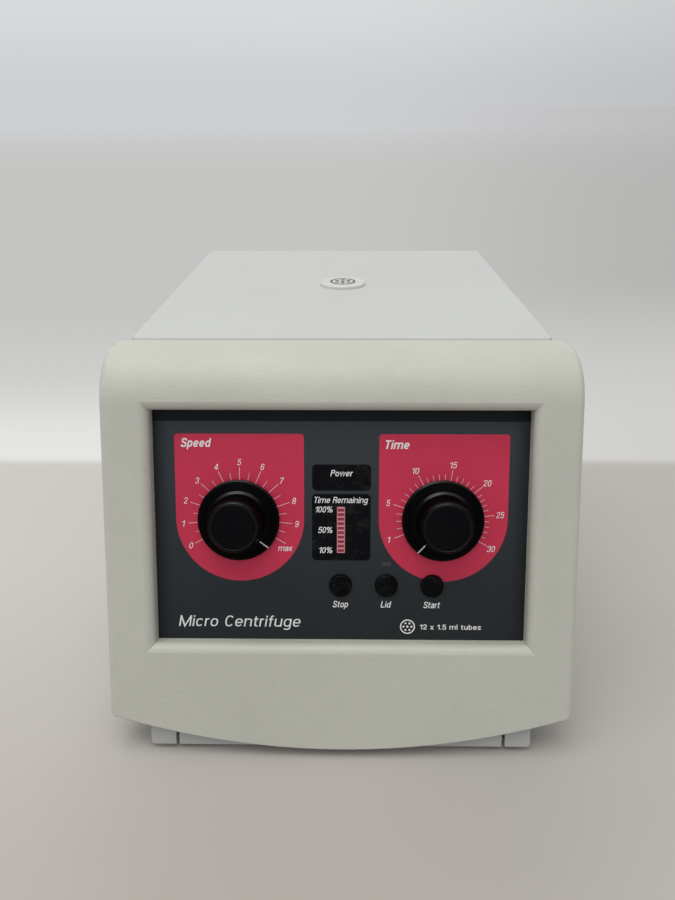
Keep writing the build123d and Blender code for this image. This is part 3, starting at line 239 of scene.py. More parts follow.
def panel_film(name):
    """Satin dark slate film, darker towards its lower edge, with faint handling marks and painted
    shade along its top and sides.
    """
    net = Finish(name)
    xyz = net.split()
    height = net.plus(net.times(xyz[1], SIN), net.times(xyz[2], COS))
    rise = net.remap(height, band=(0.0033, 0.1133), smooth=True)
    colour = net.mix(rise, srgb(18, 26, 29), srgb(47, 55, 60))
    tone = net.plus(net.cloud(scale=30, detail=3, rough=0.6, to=(-0.5, 0.5)),
                    net.cloud(scale=1800, to=(-0.6, 0.6)))
    mottle = net.remap(tone, band=(-1.4, 1.4), to=(0.0, 0.12))
    colour = net.mix(mottle, colour, srgb(82, 88, 92))
    marks = net.cloud(scale=420, detail=3, rough=0.8, band=(0.72, 0.82), to=(0.0, 0.08),
                      place=net.stretch(1, 0.14, 0.14))
    colour = net.mix(marks, colour, srgb(140, 144, 146))
    # painted shade: a dark band painted along the top where the bezel's lip casts its shadow, and
    # a soft painted darkening towards the two sides
    painted_lip_shadow = net.remap(height, band=(0.11065, 0.11085), to=(0.0, 0.80))
    colour = net.mix(painted_lip_shadow, colour, srgb(8, 11, 13))
    sides = net.remap(net.math("ABSOLUTE", xyz[0]), band=(0.0815, 0.0892), to=(0.0, 0.75),
                      smooth=True)
    colour = net.mix(sides, colour, srgb(10, 13, 15))
    return net.done(
        base=colour,
        rough=net.cloud(scale=55, detail=4, rough=0.65, to=(0.36, 0.50)),
        spec=net.remap(painted_lip_shadow, band=(0.0, 0.8), to=(0.4, 0.15)),
        normal=net.bump(net.noise(scale=3800), depth=0.006))


def gloss_black(name, base, rough, dust, spec, wear=0.0, radius=0.0003, ripple=0.004,
                upper=0.0):
    """Glossy black plastic with specks of dust and rubbed edges.

    wear lightens the edges; upper adds shine where the surface faces up and forward.
    """
    scratch = 0.0  # strength of the hairlines, here off
    gleam = 0.5  # added shine on worn edges
    speck_colour, haze_colour = (0.34, 0.34, 0.33, 1), (0.3, 0.3, 0.29, 1)
    hair_colour, worn_colour = (0.22, 0.22, 0.22, 1), (0.09, 0.09, 0.092, 1)
    net = Finish(name)
    colour = net.tones(net.cloud(scale=60, detail=3, rough=0.6), base, low=0.8, high=1.3)
    points = net.cells(scale=900)
    pick = net.cloud(scale=300, band=(0.52, 0.62))
    specks = net.times(net.remap(points, band=(0.10, 0.04)), pick)
    colour = net.mix(net.times(specks, dust), colour, speck_colour)
    haze = net.cloud(scale=150, detail=5, rough=0.75, band=(0.52, 0.80), to=(0.0, dust * 0.16))
    colour = net.mix(haze, colour, haze_colour)
    hair = net.math(
        "MAXIMUM",
        net.cloud(scale=700, rough=0.4, band=(0.70, 0.74), to=(0.0, scratch),
                  place=net.stretch(1.0, 0.06, 0.1)),
        net.cloud(scale=520, rough=0.4, band=(0.71, 0.75), to=(0.0, scratch * 0.8),
                  place=net.stretch(0.08, 1.0, 0.7)))
    colour = net.mix(net.times(hair, 0.35), colour, hair_colour)
    sheen = net.plus(
        net.cloud(scale=80, detail=4, rough=0.6, to=(rough - 0.03, rough + 0.05)),
        net.times(hair, 0.25))
    if wear:
        edge = net.edge(radius)
        colour = net.mix(net.times(edge, wear), colour, worn_colour)
        spec = net.plus(spec, net.times(edge, gleam))
    if upper:
        facing = net.split(net.add("ShaderNodeNewGeometry").outputs["Normal"])
        facing = net.times(net.remap(facing[2], band=(0.62, 0.88), smooth=True),
                           net.remap(facing[1], band=(0.0, -0.28), smooth=True))
        spec = net.plus(spec, net.times(facing, upper))
    normal = net.bump(net.noise(scale=900), ripple, net.bevel(radius))
    return net.done(base=colour, rough=sheen, spec=spec, normal=normal)


def fine_black(name, base, rough=0.42, depth=0.02, cell=0.35):
    """Fine textured black or grey engineering plastic."""
    radius = 0.0003
    net = Finish(name)
    colour = net.tones(net.cloud(scale=120, detail=4, rough=0.65), base, low=0.75, high=1.4)
    colour = net.mix(net.times(net.edge(radius), 0.35), colour, shade(base, 2.6))
    return net.done(
        base=colour,
        rough=net.cloud(scale=200, detail=3, rough=0.6, to=(rough - 0.06, rough + 0.08)),
        spec=0.45,
        normal=net.bump(net.cells(1000.0 / cell, smooth=0.3), depth, net.bevel(radius)))


def powder_paint(name, base):
    """Powder-coated sheet steel: orange peel, fine specks and chipped edges."""
    radius = 0.0004
    chip_colour = (0.42, 0.42, 0.42, 1)
    net = Finish(name)
    colour = net.tones(net.cloud(scale=25, detail=4, rough=0.6), base, low=0.93, high=1.06)
    specks = net.cloud(scale=4200, detail=1, band=(0.58, 0.7), to=(0.0, 0.3))
    colour = net.mix(specks, colour, shade(base, 0.7))
    chips = net.times(net.edge(radius),
                      net.cloud(scale=420, detail=4, rough=0.75, band=(0.55, 0.62)))
    colour = net.mix(net.times(chips, 0.6), colour, chip_colour)
    return net.done(
        base=colour,
        rough=net.cloud(scale=150, detail=3, rough=0.6, to=(0.42, 0.55)),
        spec=0.4,
        normal=net.bump(net.noise(scale=1500), 0.03, net.bevel(radius)))


def steel(name, base, rough, scale=None, ring_pitch=None):
    """Bright metal: an even grain of the given scale, or rings turned about the rotor's axis."""
    radius = 0.0003
    net = Finish(name)
    if ring_pitch:
        offset = net.vector_math("SUBTRACT", net.place, (ROTOR_X, ROTOR_Y, 0.0))["Vector"]
        xyz = net.split(offset)
        square = net.plus(net.times(xyz[0], xyz[0]), net.times(xyz[1], xyz[1]))
        # rings follow one another both outwards and down the walls
        along = net.plus(net.math("SQRT", square), net.times(xyz[2], 0.83))
        place = net.add("ShaderNodeCombineXYZ", {0: net.times(along, 1.0)}).outputs[0]
        line = net.noise(scale=1000.0 / ring_pitch, detail=3, rough=0.75, place=place)
    else:
        line = net.noise(scale=scale, detail=4, rough=0.7, place=net.stretch(1, 1, 1))
    stain = net.noise(scale=45, detail=4, rough=0.6)
    colour = net.tones(net.remap(line, band=(0.3, 0.7)), base, low=0.86, high=1.08)
    stained = net.remap(stain, band=(0.4, 0.8), to=(0.0, 0.2))
    colour = net.mix(stained, colour, shade(base, 0.75))
    colour = net.mix(net.times(net.edge(radius), 0.5), colour, shade(base, 1.25))
    sheen = net.plus(net.remap(line, band=(0.3, 0.7), to=(rough - 0.06, rough + 0.08)),
                     net.remap(stain, band=(0.3, 0.7), to=(-0.04, 0.05)))
    return net.done(base=colour, rough=sheen, metal=1.0,
                    normal=net.bump(line, 0.012, net.bevel(radius)))


def rubber(name, base):
    """Matt rubber with a pale bloom."""
    bloom_colour = (0.14, 0.135, 0.12, 1)
    net = Finish(name)
    share = net.cloud(scale=160, detail=5, rough=0.7, band=(0.35, 0.7))
    colour = net.tones(share, base, low=0.8, high=1.6)
    bloom = net.cloud(scale=60, detail=5, rough=0.7, band=(0.55, 0.8), to=(0.0, 0.12))
    relief = net.noise(scale=2400, detail=3, rough=0.6)
    return net.done(
        base=net.mix(bloom, colour, bloom_colour),
        rough=net.cloud(scale=90, detail=3, rough=0.6, to=(0.72, 0.88)),
        spec=0.3,
        normal=net.bump(relief, 0.03, net.bevel(radius=0.0004)))


def laminated(name, base):
    """Stacked iron sheets under varnish, with rust."""
    sheet = 0.9
    rust_colour = (0.16, 0.075, 0.035, 1)
    net = Finish(name)
    phase = net.math("FRACT", net.times(net.split()[2], 1000.0 / sheet))
    from_middle = net.math("ABSOLUTE", net.math("SUBTRACT", phase, 0.5))
    gap = net.remap(from_middle, band=(0.32, 0.5))
    colour = net.mix(gap, base, shade(base, 0.35))
    rust = net.cloud(scale=120, detail=5, rough=0.7, band=(0.55, 0.8), to=(0.0, 0.55))
    return net.done(
        base=net.mix(rust, colour, rust_colour),
        rough=net.cloud(scale=90, detail=4, rough=0.6, to=(0.3, 0.55)),
        metal=0.55,
        normal=net.bump(net.times(gap, -1.0), 0.06))


def circuit_board(name):
    """Green laminate with solder mask tracks and pads."""
    mask_colour, track_colour = (0.012, 0.085, 0.035, 1), (0.02, 0.15, 0.06, 1)
    pad_colour = (0.5, 0.47, 0.38, 1)
    net = Finish(name)
    cells = net.cells(scale=330, randomness=0.35)
    # tracks follow 22 contours of a broad noise
    phase = net.math("FRACT", net.times(net.noise(scale=70, detail=1, rough=0.3), 22.0))
    from_middle = net.math("ABSOLUTE", net.math("SUBTRACT", phase, 0.5))
    tracks = net.remap(from_middle, band=(0.30, 0.34))
    pads = net.remap(cells, band=(0.16, 0.13))
    return net.done(
        base=net.mix(pads, net.mix(tracks, mask_colour, track_colour), pad_colour),
        rough=net.cloud(scale=500, to=(0.28, 0.42)),
        metal=net.times(pads, 0.8),
        normal=net.bump(net.plus(tracks, pads), 0.03))


def ink(name, base, rough=0.42, wearing=0.12, spec=0.4):
    """Screen-printed ink: slightly uneven cover with pinholes and a soft orange peel."""
    net = Finish(name)
    colour = net.tones(net.cloud(scale=38, detail=3, rough=0.6), base, low=0.93, high=1.06)
    pinholes = net.cloud(scale=2400, rough=0.6, band=(0.62, 0.75), to=(0.0, wearing))
    return net.done(
        base=net.mix(pinholes, colour, shade(base, 0.55)),
        rough=net.cloud(scale=70, detail=4, rough=0.6, to=(rough - 0.05, rough + 0.07)),
        spec=spec,
        normal=net.bump(net.noise(scale=2600), 0.006))


def pearl(name, base):
    """Pale plastic under a thin clear coat."""
    radius = 0.0004
    net = Finish(name)
    colour = net.tones(net.cloud(scale=180, detail=3, rough=0.6), base, low=0.94, high=1.05)
    return net.done(
        base=net.mix(net.times(net.edge(radius), 0.4), colour, shade(base, 0.8)),
        rough=net.cloud(scale=120, detail=4, rough=0.6, to=(0.2, 0.32)),
        spec=0.5, coat=0.3, coat_rough=0.15,
        normal=net.bump(net.noise(scale=900), 0.01, net.bevel(radius)))


def ribbed_lens(name, base):
    """Coloured moulding with a ribbed diffuser."""
    rib_pitch = 0.5
    net = Finish(name)
    rib = net.math("FRACT", net.times(net.split()[0], 1000.0 / rib_pitch))
    return net.done(
        base=net.tones(net.remap(rib, band=(0.0, 1.0)), base, low=0.75, high=1.25),
        rough=net.cloud(scale=300, detail=3, rough=0.6, to=(0.18, 0.3)),
        spec=0.5,
        normal=net.bump(rib, 0.02))


# ---------------------------------------------------------------- finishes
# finish: kind, the CAD nodes that wear it, settings
FINISHES = {
    "bezel_plastic": (moulded, "front_bezel", dict(
        base=srgb(203, 204, 193), rough=0.40, cell=0.8, depth=0.10, fine=0.012,
        mottle=0.034, edge_light=1.06, soil=0.05, spec=0.5)),
    "housing_plastic": (moulded, "housing_cover", dict(
        base=srgb(203, 205, 199), rough=0.55, cell=0.5, depth=0.035, fine=0.012,
        mottle=0.02, edge_light=1.05, soil=0.05, spec=0.4)),
    "lid_plastic": (moulded, "lid_cover", dict(
        base=srgb(204, 206, 204), rough=0.55, cell=0.45, depth=0.03, fine=0.012,
        mottle=0.018, edge_light=1.05, soil=0.03, spec=0.4)),
    "liner_plastic": (moulded, "lid_liner", dict(
        base=srgb(190, 191, 184), rough=0.5, cell=0.5, depth=0.02, mottle=0.02)),
    "panel_film": (panel_film, "panel_overlay", {}),
    "window_black": (gloss_black, "power_window time_window", dict(
        base=(0.0022, 0.0025, 0.003, 1), rough=0.16, dust=0.55, spec=0.12)),
    "knob_black": (gloss_black, "speed_knob time_knob", dict(
        base=(0.0012, 0.0013, 0.0016, 1), rough=0.28, dust=0.04, wear=0.42,
        radius=0.00035, ripple=0.006, spec=0.03, upper=0.38)),
    "knob_cap_black": (gloss_black, "speed_knob_cap time_knob_cap", dict(
        base=(0.0022, 0.0024, 0.0028, 1), rough=0.24, dust=0.06, wear=0.40,
        radius=0.00035, spec=0.08)),
    "button_black": (gloss_black, "stop_button lid_button start_button power_rocker", dict(
        base=(0.0016, 0.0018, 0.002, 1), rough=0.30, dust=0.5, wear=0.15, spec=0.08)),
    "pan_paint": (powder_paint, "base_pan motor_plate", dict(base=srgb(186, 187, 184))),
    "screw_steel": (
        steel,
        "foot_screws housing_screws motor_posts motor_bearings drive_shaft lid_screws "
        "hinge_pins lid_striker latch_bolt panel_screws speed_shaft time_shaft "
        "potentiometer_nuts",
        dict(base=(0.56, 0.56, 0.57, 1), rough=0.3, scale=1400)),
    "foot_rubber": (rubber, "rubber_feet chamber_gasket shaft_grommet isolation_mounts",
                    dict(base=(0.016, 0.016, 0.016, 1))),
    "rotor_alloy": (steel, "rotor rotor_nut",
                    dict(base=(0.62, 0.63, 0.65, 1), rough=0.3, ring_pitch=0.5)),
    "bowl_steel": (steel, "chamber_bowl",
                   dict(base=(0.55, 0.55, 0.54, 1), rough=0.33, ring_pitch=0.7)),
    "motor_metal": (fine_black, "motor_housing motor_end_cap latch_solenoid", dict(
        base=(0.04, 0.042, 0.045, 1), rough=0.35, depth=0.03, cell=0.6)),
    "core_iron": (laminated, "motor_stator motor_armature mains_transformer",
                  dict(base=(0.16, 0.155, 0.15, 1))),
    "board_green": (circuit_board, "control_board power_board", {}),
    "badge_white": (pearl, "lid_badge", dict(base=srgb(222, 222, 214))),
    "indicator_red": (ribbed_lens, "bargraph_display", dict(base=(0.28, 0.02, 0.035, 1))),
    "indicator_dull": (ribbed_lens, "indicator_leds", dict(base=(0.05, 0.045, 0.05, 1))),
    "electric_black": (
        fine_black,
        "latch_housing lid_switch panel_plate speed_potentiometer time_potentiometer "
        "button_switches mains_inlet power_switch_frame fuse_holder",
        dict(base=(0.015, 0.015, 0.016, 1))),
    "brass_pins": (steel, "board_spacers",
                   dict(base=(0.62, 0.46, 0.2, 1), rough=0.28, scale=1200)),
    "hinge_paint": (powder_paint, "lid_hinge_arms hinge_brackets",
                    dict(base=srgb(150, 151, 149))),
}
node_look = {}
for finish_name, (make, pieces, settings) in FINISHES.items():
    finish = make(finish_name, **settings)
    node_look.update((piece, finish) for piece in pieces.split())

for node_name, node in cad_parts.items():
    look = node_look[node_name]
    if not node.data.materials:
        node.data.materials.append(look)
    for material_slot in node.material_slots:
        material_slot.link = "OBJECT"
        material_slot.material = look

INK_RED = ink("ink_red", srgb(211, 54, 84), rough=0.46, spec=0.3)
INK_WHITE = ink("ink_white", srgb(250, 250, 250))
INK_TICK = ink("ink_tick", srgb(250, 206, 214))
INK_PALE = ink("ink_pale", srgb(240, 242, 243))
INK_GREY = ink("ink_grey", srgb(84, 86, 88), rough=0.4)
BAR_LIT = ink("bar_segment", srgb(150, 52, 68), rough=0.3, wearing=0.05)
BAR_FRAME = ink("bar_frame", srgb(222, 150, 160), rough=0.35, wearing=0.05)
POINTER = ink("pointer_white", srgb(232, 232, 226), rough=0.4)

# ---------------------------------------------------------------- flat printed layers
# Heights above the film and thicknesses, in millimetres.
RED_THICK = 0.06
WHITE_THICK = 0.05
ON_FILM = 0.0
ON_RED = ON_FILM + RED_THICK
ON_WINDOW = 0.2  # the two black windows stand this far above the film


def arc(centre_x, centre_y, radius, start, end, step):
    """Points of an arc between angles in degrees, counted anticlockwise from +x."""
    count = max(2, int(abs(end - start) / step) + 1)
    angles = [math.radians(start + (end - start) * i / (count - 1)) for i in range(count)]
    return [(centre_x + radius * math.cos(angle), centre_y + radius * math.sin(angle))
            for angle in angles]


def circle(centre_x, centre_y, radius, step=6.0):
    return arc(centre_x, centre_y, radius, 0, 360, step)[:-1]


def tick(centre_x, centre_y, angle, inner, outer, width):
    """A thin rectangle on the ray at angle degrees clockwise from up, between two radii."""
    sine, cosine = math.sin(math.radians(angle)), math.cos(math.radians(angle))
    half = width / 2
    return [(centre_x + sine * radius + cosine * offset,
             centre_y + cosine * radius - sine * offset)
            for radius, offset in ((inner, -half), (outer, -half), (outer, half), (inner, half))]


def rounded(x0, y0, x1, y1, radius):
    """A rectangle with rounded corners."""
    step = 30
    return (arc(x1 - radius, y1 - radius, radius, 0, 90, step)
            + arc(x0 + radius, y1 - radius, radius, 90, 180, step)
            + arc(x0 + radius, y0 + radius, radius, 180, 270, step)
            + arc(x1 - radius, y0 + radius, radius, 270, 360, step))


def add_object(name, data):
    thing = bpy.data.objects.new(name, data)
    bpy.context.scene.collection.objects.link(thing)
    return thing


def slab(*loops, thick=WHITE_THICK):
    """Closed slab with the given outline loops, inner loops being holes, from z 0 up."""
    curve = bpy.data.curves.new("outline", "CURVE")
    curve.dimensions = "2D"
    curve.fill_mode = "BOTH"
    curve.extrude = thick / 2 * MM
    for points in loops:
        spline = curve.splines.new("POLY")
        spline.points.add(len(points) - 1)
        for point, (x, y) in zip(spline.points, points):
            point.co = (x * MM, y * MM, 0, 1)
        spline.use_cyclic_u = True
    holder = add_object("holder", curve)
    bpy.context.view_layer.update()
    graph = bpy.context.evaluated_depsgraph_get()
    mesh = bpy.data.meshes.new_from_object(holder.evaluated_get(graph), depsgraph=graph)
    bpy.data.objects.remove(holder)
    bpy.data.curves.remove(curve)
    mesh.transform(Matrix.Translation((0, 0, thick / 2 * MM)))
    return mesh


def add_piece(name, bm, material, body, place):
    """Turn a bmesh into a flat-shaded piece, placed by a matrix, riding on a body."""
    bmesh.ops.recalc_face_normals(bm, faces=bm.faces)
    for face in bm.faces:
        face.smooth = False
    mesh = bpy.data.meshes.new(name)
    bm.to_mesh(mesh)
    bm.free()
    mesh.materials.append(material)
    mesh.transform(place)
    piece = add_object(name, mesh)
    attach(piece, body)


def printed(name, meshes, low, material, body="chassis", place=FACE):
    """One piece from several slabs, lifted to height low."""
    bm = bmesh.new()
    for mesh in meshes:
        bm.from_mesh(mesh)
        bpy.data.meshes.remove(mesh)
    bmesh.ops.remove_doubles(bm, verts=bm.verts, dist=2e-7)
    bmesh.ops.dissolve_degenerate(bm, dist=1e-7, edges=bm.edges)
    loose = [vert for vert in bm.verts if not vert.link_faces]
    bmesh.ops.delete(bm, geom=loose, context="VERTS")
    add_piece(name, bm, material, body, place @ Matrix.Translation((0, 0, low * MM)))


# ---------------------------------------------------------------- lettering
# A plain condensed sans drawn with strokes of one weight. Capitals are 1 high, and the
# weight is the stroke's width on that scale.
def oval(centre_x, centre_y, radius_x, radius_y, start=0, end=360):
    """Points of a squared-off oval between angles in degrees, anticlockwise from +x."""
    squareness, step = 2.5, 12.0
    count = max(3, int(abs(end - start) / step) + 1)
    power = 2 / squareness
    points = []
    for i in range(count):
        angle = math.radians(start + (end - start) * i / (count - 1))
        cosine, sine = math.cos(angle), math.sin(angle)
        points.append((centre_x + radius_x * math.copysign(abs(cosine) ** power, cosine),
                       centre_y + radius_y * math.copysign(abs(sine) ** power, sine)))
    return points


def smooth(*controls):
    """A smooth curve through the given points, with five steps to each span."""
    ends = [controls[0], *controls, controls[-1]]
    points = []
    for span in zip(ends, ends[1:], ends[2:], ends[3:]):
        for i in range(5):
            t = i / 5
            points.append(tuple(
                0.5 * (2 * start + (end - before) * t
                       + (2 * before - 5 * start + 4 * end - after) * t * t
                       + (3 * start - before - 3 * end + after) * t ** 3)
                for before, start, end, after in zip(*span)))
    points.append(controls[-1])
    return points


def half_turn(lines, width, height):
    return [[(width - x, height - y) for x, y in line] for line in lines]


def alphabet(weight):
    """Width and centre lines of each character. A line that ends where it starts is a ring."""
    half = weight / 2
    wide = 0.50 + weight * 0.35
    mid, right, top = wide / 2, wide - half, 1 - half
    bowl = mid - half
    small = 0.73
    small_top = small - half
    ring = oval(mid, small / 2, bowl, small / 2 - half)
    stem, small_stem = [(half, 0), (half, 1)], [(half, 0), (half, small)]

    # figures and signs
    one = wide * 0.68
    six = [smooth((half, 0.36), (half + 0.005, 0.66), (wide * 0.26, 0.92), (mid, top),
                  (right - 0.02, 0.90), (right, 0.77)),
           oval(mid, 0.315, bowl, 0.315 - half)]
    sign, dot = 0.92, 0.19
    dot_x, dot_y = dot - half * 0.75, 0.24 - half * 0.75
    glyphs = {
        " ": (0.26, []),
        ".": (weight * 1.1, [[(half, 0), (half, weight * 1.1)]]),
        "0": (wide, [oval(mid, 0.5, bowl, 0.5 - half)]),
        "1": (one, [[(one - half, 0), (one - half, 1)],
                    [(0, 0.76), (wide * 0.25, 0.79), (one - half, 0.93)]]),
        "2": (wide, [smooth((half, 0.70), (half + 0.02, 0.86), (mid, top), (right - 0.02, 0.88),
                            (right, 0.70), (wide * 0.70, 0.47), (wide * 0.30, 0.26),
                            (half * 1.1, half)),
                     [(half * 0.4, half), (wide, half)]]),
        "3": (wide, [smooth((half, 0.73), (half + 0.03, 0.88), (mid, top), (right - 0.02, 0.88),
                            (right - 0.01, 0.71), (wide * 0.72, 0.56), (mid * 0.9, 0.53)),
                     smooth((mid * 0.9, 0.53), (wide * 0.78, 0.49), (right, 0.29),
                            (wide * 0.80, 0.08), (mid, half), (half + 0.03, 0.10),
                            (half, 0.27))]),
        "4": (wide + 0.04, [[(wide * 0.80 - half, 0), (wide * 0.80 - half, 1)],
                            [(wide * 0.80 - half, 0.98), (half * 0.7, 0.28)],
                            [(0.0, 0.24), (wide + 0.04, 0.24)]]),
        "5": (wide, [[(wide * 0.94, top), (wide * 0.22, top)],
                     [(wide * 0.22, 1), (wide * 0.14 + half * 0.2, 0.47)],
                     smooth((wide * 0.14 + half * 0.2, 0.49), (mid, 0.62 - half * 0.2),
                            (right - 0.02, 0.53), (right, 0.32), (wide * 0.80, 0.09),
                            (mid, half), (half + 0.03, 0.09), (half, 0.23))]),
        "6": (wide, six),
        "7": (wide, [[(0, top), (wide, top)],
                     smooth((wide - half * 1.1, 1 - weight), (wide * 0.62, 0.58),
                            (wide * 0.42, 0.26), (wide * 0.34, 0))]),
        "8": (wide, [oval(mid, 0.755, bowl - 0.015, 0.245 - half * 0.8),
                     oval(mid, 0.285, bowl, 0.285 - half)]),
        "9": (wide, half_turn(six, wide, 1)),
        "%": (sign, [oval(dot, 0.76, dot_x, dot_y), oval(sign - dot, 0.24, dot_x, dot_y),
                     [(0.25, 0), (0.67, 1)]]),
    }

    # capitals
    span = wide + 0.06
    glyphs["C"] = span, [oval(span / 2, 0.5, span / 2 - half, 0.5 - half, 38, 322)]
    glyphs["L"] = wide * 0.92, [stem, [(half, half), (wide * 0.92, half)]]
    span = wide + 0.30
    glyphs["M"] = span, [stem, [(span - half, 0), (span - half, 1)],
                         [(half, 0.99), (span / 2, 0.02), (span - half, 0.99)]]
    span = wide + 0.03
    loop = [(half, top), (span * 0.55, top),
            *oval(span * 0.55, 0.735, span * 0.45 - half, 0.265 - half, 75, -75),
            (span * 0.55, 0.47 + half), (half, 0.47 + half)]
    leg = smooth((span * 0.52, 0.50), (span * 0.82, 0.42), (span - half - 0.01, 0.24),
                 (span - half + 0.01, 0))
    glyphs["P"] = span, [stem, loop]
    glyphs["R"] = span, [stem, loop, leg]
    span = wide + 0.04
    glyphs["S"] = span, [smooth(
        (span - half, 0.72), (span - half - 0.03, 0.88), (span / 2, top), (half + 0.03, 0.90),
        (half, 0.74), (span * 0.22, 0.60), (span * 0.5, 0.52), (span * 0.80, 0.43),
        (span - half, 0.27), (span - half - 0.04, 0.09), (span / 2, half), (half + 0.02, 0.10),
        (half, 0.28))]
    glyphs["T"] = wide + 0.02, [[(0, top), (wide + 0.02, top)],
                                [(mid + 0.01, 0), (mid + 0.01, top)]]

    # small letters
    glyphs["a"] = wide, [
        smooth((half * 1.1, small * 0.74), (wide * 0.28, small - half * 1.15), (mid, small_top),
               (right - 0.03, small * 0.88), (right, small * 0.66), (right, small * 0.35),
               (right, 0)),
        smooth((right, small * 0.60), (mid, small * 0.54), (half + 0.04, small * 0.44),
               (half, small * 0.26), (wide * 0.26, half * 1.05), (wide * 0.62, half * 1.3),
               (right, small * 0.32))]
    glyphs["b"] = wide, [ring, stem]
    glyphs["c"] = wide * 0.94, [oval(wide * 0.47, small / 2, wide * 0.47 - half,
                                     small / 2 - half, 40, 320)]
    glyphs["d"] = wide, [ring, [(right, 0), (right, 1)]]
    glyphs["e"] = wide, [[(weight * 0.9, small * 0.49), (right, small * 0.49)],
                         oval(mid, small / 2, bowl, small / 2 - half, -2, 322)]
    span = 0.20 + weight
    glyphs["f"] = span, [smooth((span * 0.45, 0), (span * 0.45, 0.5), (span * 0.45, 0.84),
                                (span * 0.62, 0.98 - half * 0.4), (span, top)),
                         [(0, small_top), (span * 0.95, small_top)]]
    glyphs["t"] = span, [smooth((span * 0.42, 0.92), (span * 0.42, 0.6), (span * 0.42, 0.17),
                                (span * 0.62, half), (span, half * 1.05)),
                         [(0, small_top), (span, small_top)]]
    glyphs["g"] = wide, [ring, [(right, small), (right, -0.06)],
                         smooth((right, -0.06), (right - 0.06, -0.21), (mid, -0.25),
                                (half + 0.01, -0.19))]
    glyphs["i"] = weight, [small_stem, [(half, 0.86), (half, 1)]]
    glyphs["l"] = weight, [stem]
    span = 2 * wide - weight * 1.1
    arch = (span - weight) / 2
    glyphs["m"] = span, [small_stem] + [
        smooth((foot, small * 0.62), (foot + 0.04, small * 0.88), (foot + arch / 2, small_top),
               (foot + arch - 0.03, small * 0.88), (foot + arch, small * 0.62),
               (foot + arch, small * 0.3), (foot + arch, 0))
        for foot in (half, half + arch)]
    letter_n = [small_stem,
                smooth((half, small * 0.62), (half + 0.05, small * 0.88), (mid, small_top),
                       (right - 0.03, small * 0.86), (right, small * 0.62),
                       (right, small * 0.3), (right, 0))]
    glyphs["n"] = wide, letter_n
    glyphs["u"] = wide, half_turn(letter_n, wide, small)
    glyphs["o"] = wide, [ring]
    glyphs["p"] = wide, [ring, [(half, -0.27), (half, small)]]
    span = 0.18 + weight
    glyphs["r"] = span, [small_stem,
                         smooth((half, small * 0.60), (half + 0.05, small * 0.86),
                                (span * 0.66, small_top), (span, small_top))]
    span = wide * 0.92
    glyphs["s"] = span, [smooth(
        (span - half, small * 0.74), (span * 0.78, small - half * 1.1), (span / 2, small_top),
        (half + 0.03, small * 0.88), (half + 0.01, small * 0.70), (span * 0.5, small * 0.51),
        (span - half - 0.01, small * 0.32), (span - half - 0.03, small * 0.12),
        (span / 2, half), (span * 0.2, half * 1.1), (half, small * 0.27))]
    span = wide * 1.45
    glyphs["w"] = span, [[(half * 0.8, small), (span * 0.27, 0.02), (span * 0.5, small),
                          (span * 0.73, 0.02), (span - half * 0.8, small)]]
    span = wide * 0.98
    glyphs["x"] = span, [[(half * 0.8, 0), (span - half * 0.8, small)],
                         [(half * 0.8, small), (span - half * 0.8, 0)]]
    return glyphs


def ribbon(points, weight):
    """Left and right sides of a stroke along points, and whether it closes on itself."""
    steps = []
    for (x0, y0), (x1, y1) in zip(points, points[1:]):
        length = math.hypot(x1 - x0, y1 - y0)
        steps.append(((x1 - x0) / length, (y1 - y0) / length))
    closed = math.dist(points[0], points[-1]) < 1e-9
    if closed:
        points = points[:-1]
        arriving, leaving = steps[-1:] + steps[:-1], steps
    else:
        arriving, leaving = steps[:1] + steps, steps + steps[-1:]
    left, right = [], []
    for (x, y), (x0, y0), (x1, y1) in zip(points, arriving, leaving):
        across_x, across_y = -y0 - y1, x0 + x1
        # the mitre is held back at sharp turns
        reach = weight / max(across_x * across_x + across_y * across_y, 0.5)
        left.append((x + across_x * reach, y + across_y * reach))
        right.append((x - across_x * reach, y - across_y * reach))
    return left, right, closed


def strip_mesh(left, right, closed, thick):
    """Closed slab between two sides, from z 0 to thick (millimetres)."""
    count = len(left)
    verts = [(x * MM, y * MM, z * MM) for z in (0.0, thick) for x, y in left + right]
    low_left, low_right, high_left, high_right = 0, count, 2 * count, 3 * count
    faces = []
    for i in range(count if closed else count - 1):
        j = (i + 1) % count
        faces += [(high_right + i, high_right + j, high_left + j, high_left + i),
                  (low_left + i, low_left + j, low_right + j, low_right + i),
                  (low_right + i, low_right + j, high_right + j, high_right + i),
                  (high_left + i, high_left + j, low_left + j, low_left + i)]
    if not closed:
        last = count - 1
        faces += [(low_left, low_right, high_right, high_left),
                  (high_left + last, high_right + last, low_right + last, low_left + last)]
    mesh = bpy.data.meshes.new("strip")
    mesh.from_pydata(verts, [], faces)
    mesh.update()
    return mesh


def word(text, x0, x1, foot, height, weight, slant=0.2, gap=0.10):
    """Lettering from x0 to x1 with its foot on s = foot and capitals of the given height
    (millimetres). Returns one closed slab a stroke."""
    glyphs = alphabet(weight)
    pen, strokes = 0.0, []
    for char in text:
        advance, lines = glyphs[char]
        for line in lines:
            left, right, closed = ribbon([(pen + x, y) for x, y in line], weight)
            strokes.append(([(x + slant * y, y) for x, y in left],
                            [(x + slant * y, y) for x, y in right], closed))
        pen += advance + gap
    reach = [x for left, right, _ in strokes for x, _ in left + right]
    low = min(reach)
    scale = (x1 - x0) / (max(reach) - low)

    def place(row):
        return [(x0 + (x - low) * scale, foot + y * height) for x, y in row]

    # crossing strokes differ a little in thickness, so their tops do not coincide
    return [strip_mesh(place(left), place(right), closed, WHITE_THICK + 0.004 * (i % 4))
            for i, (left, right, closed) in enumerate(strokes)]


def words(rows, **style):
    return [stroke for row in rows for stroke in word(*row, **style)]


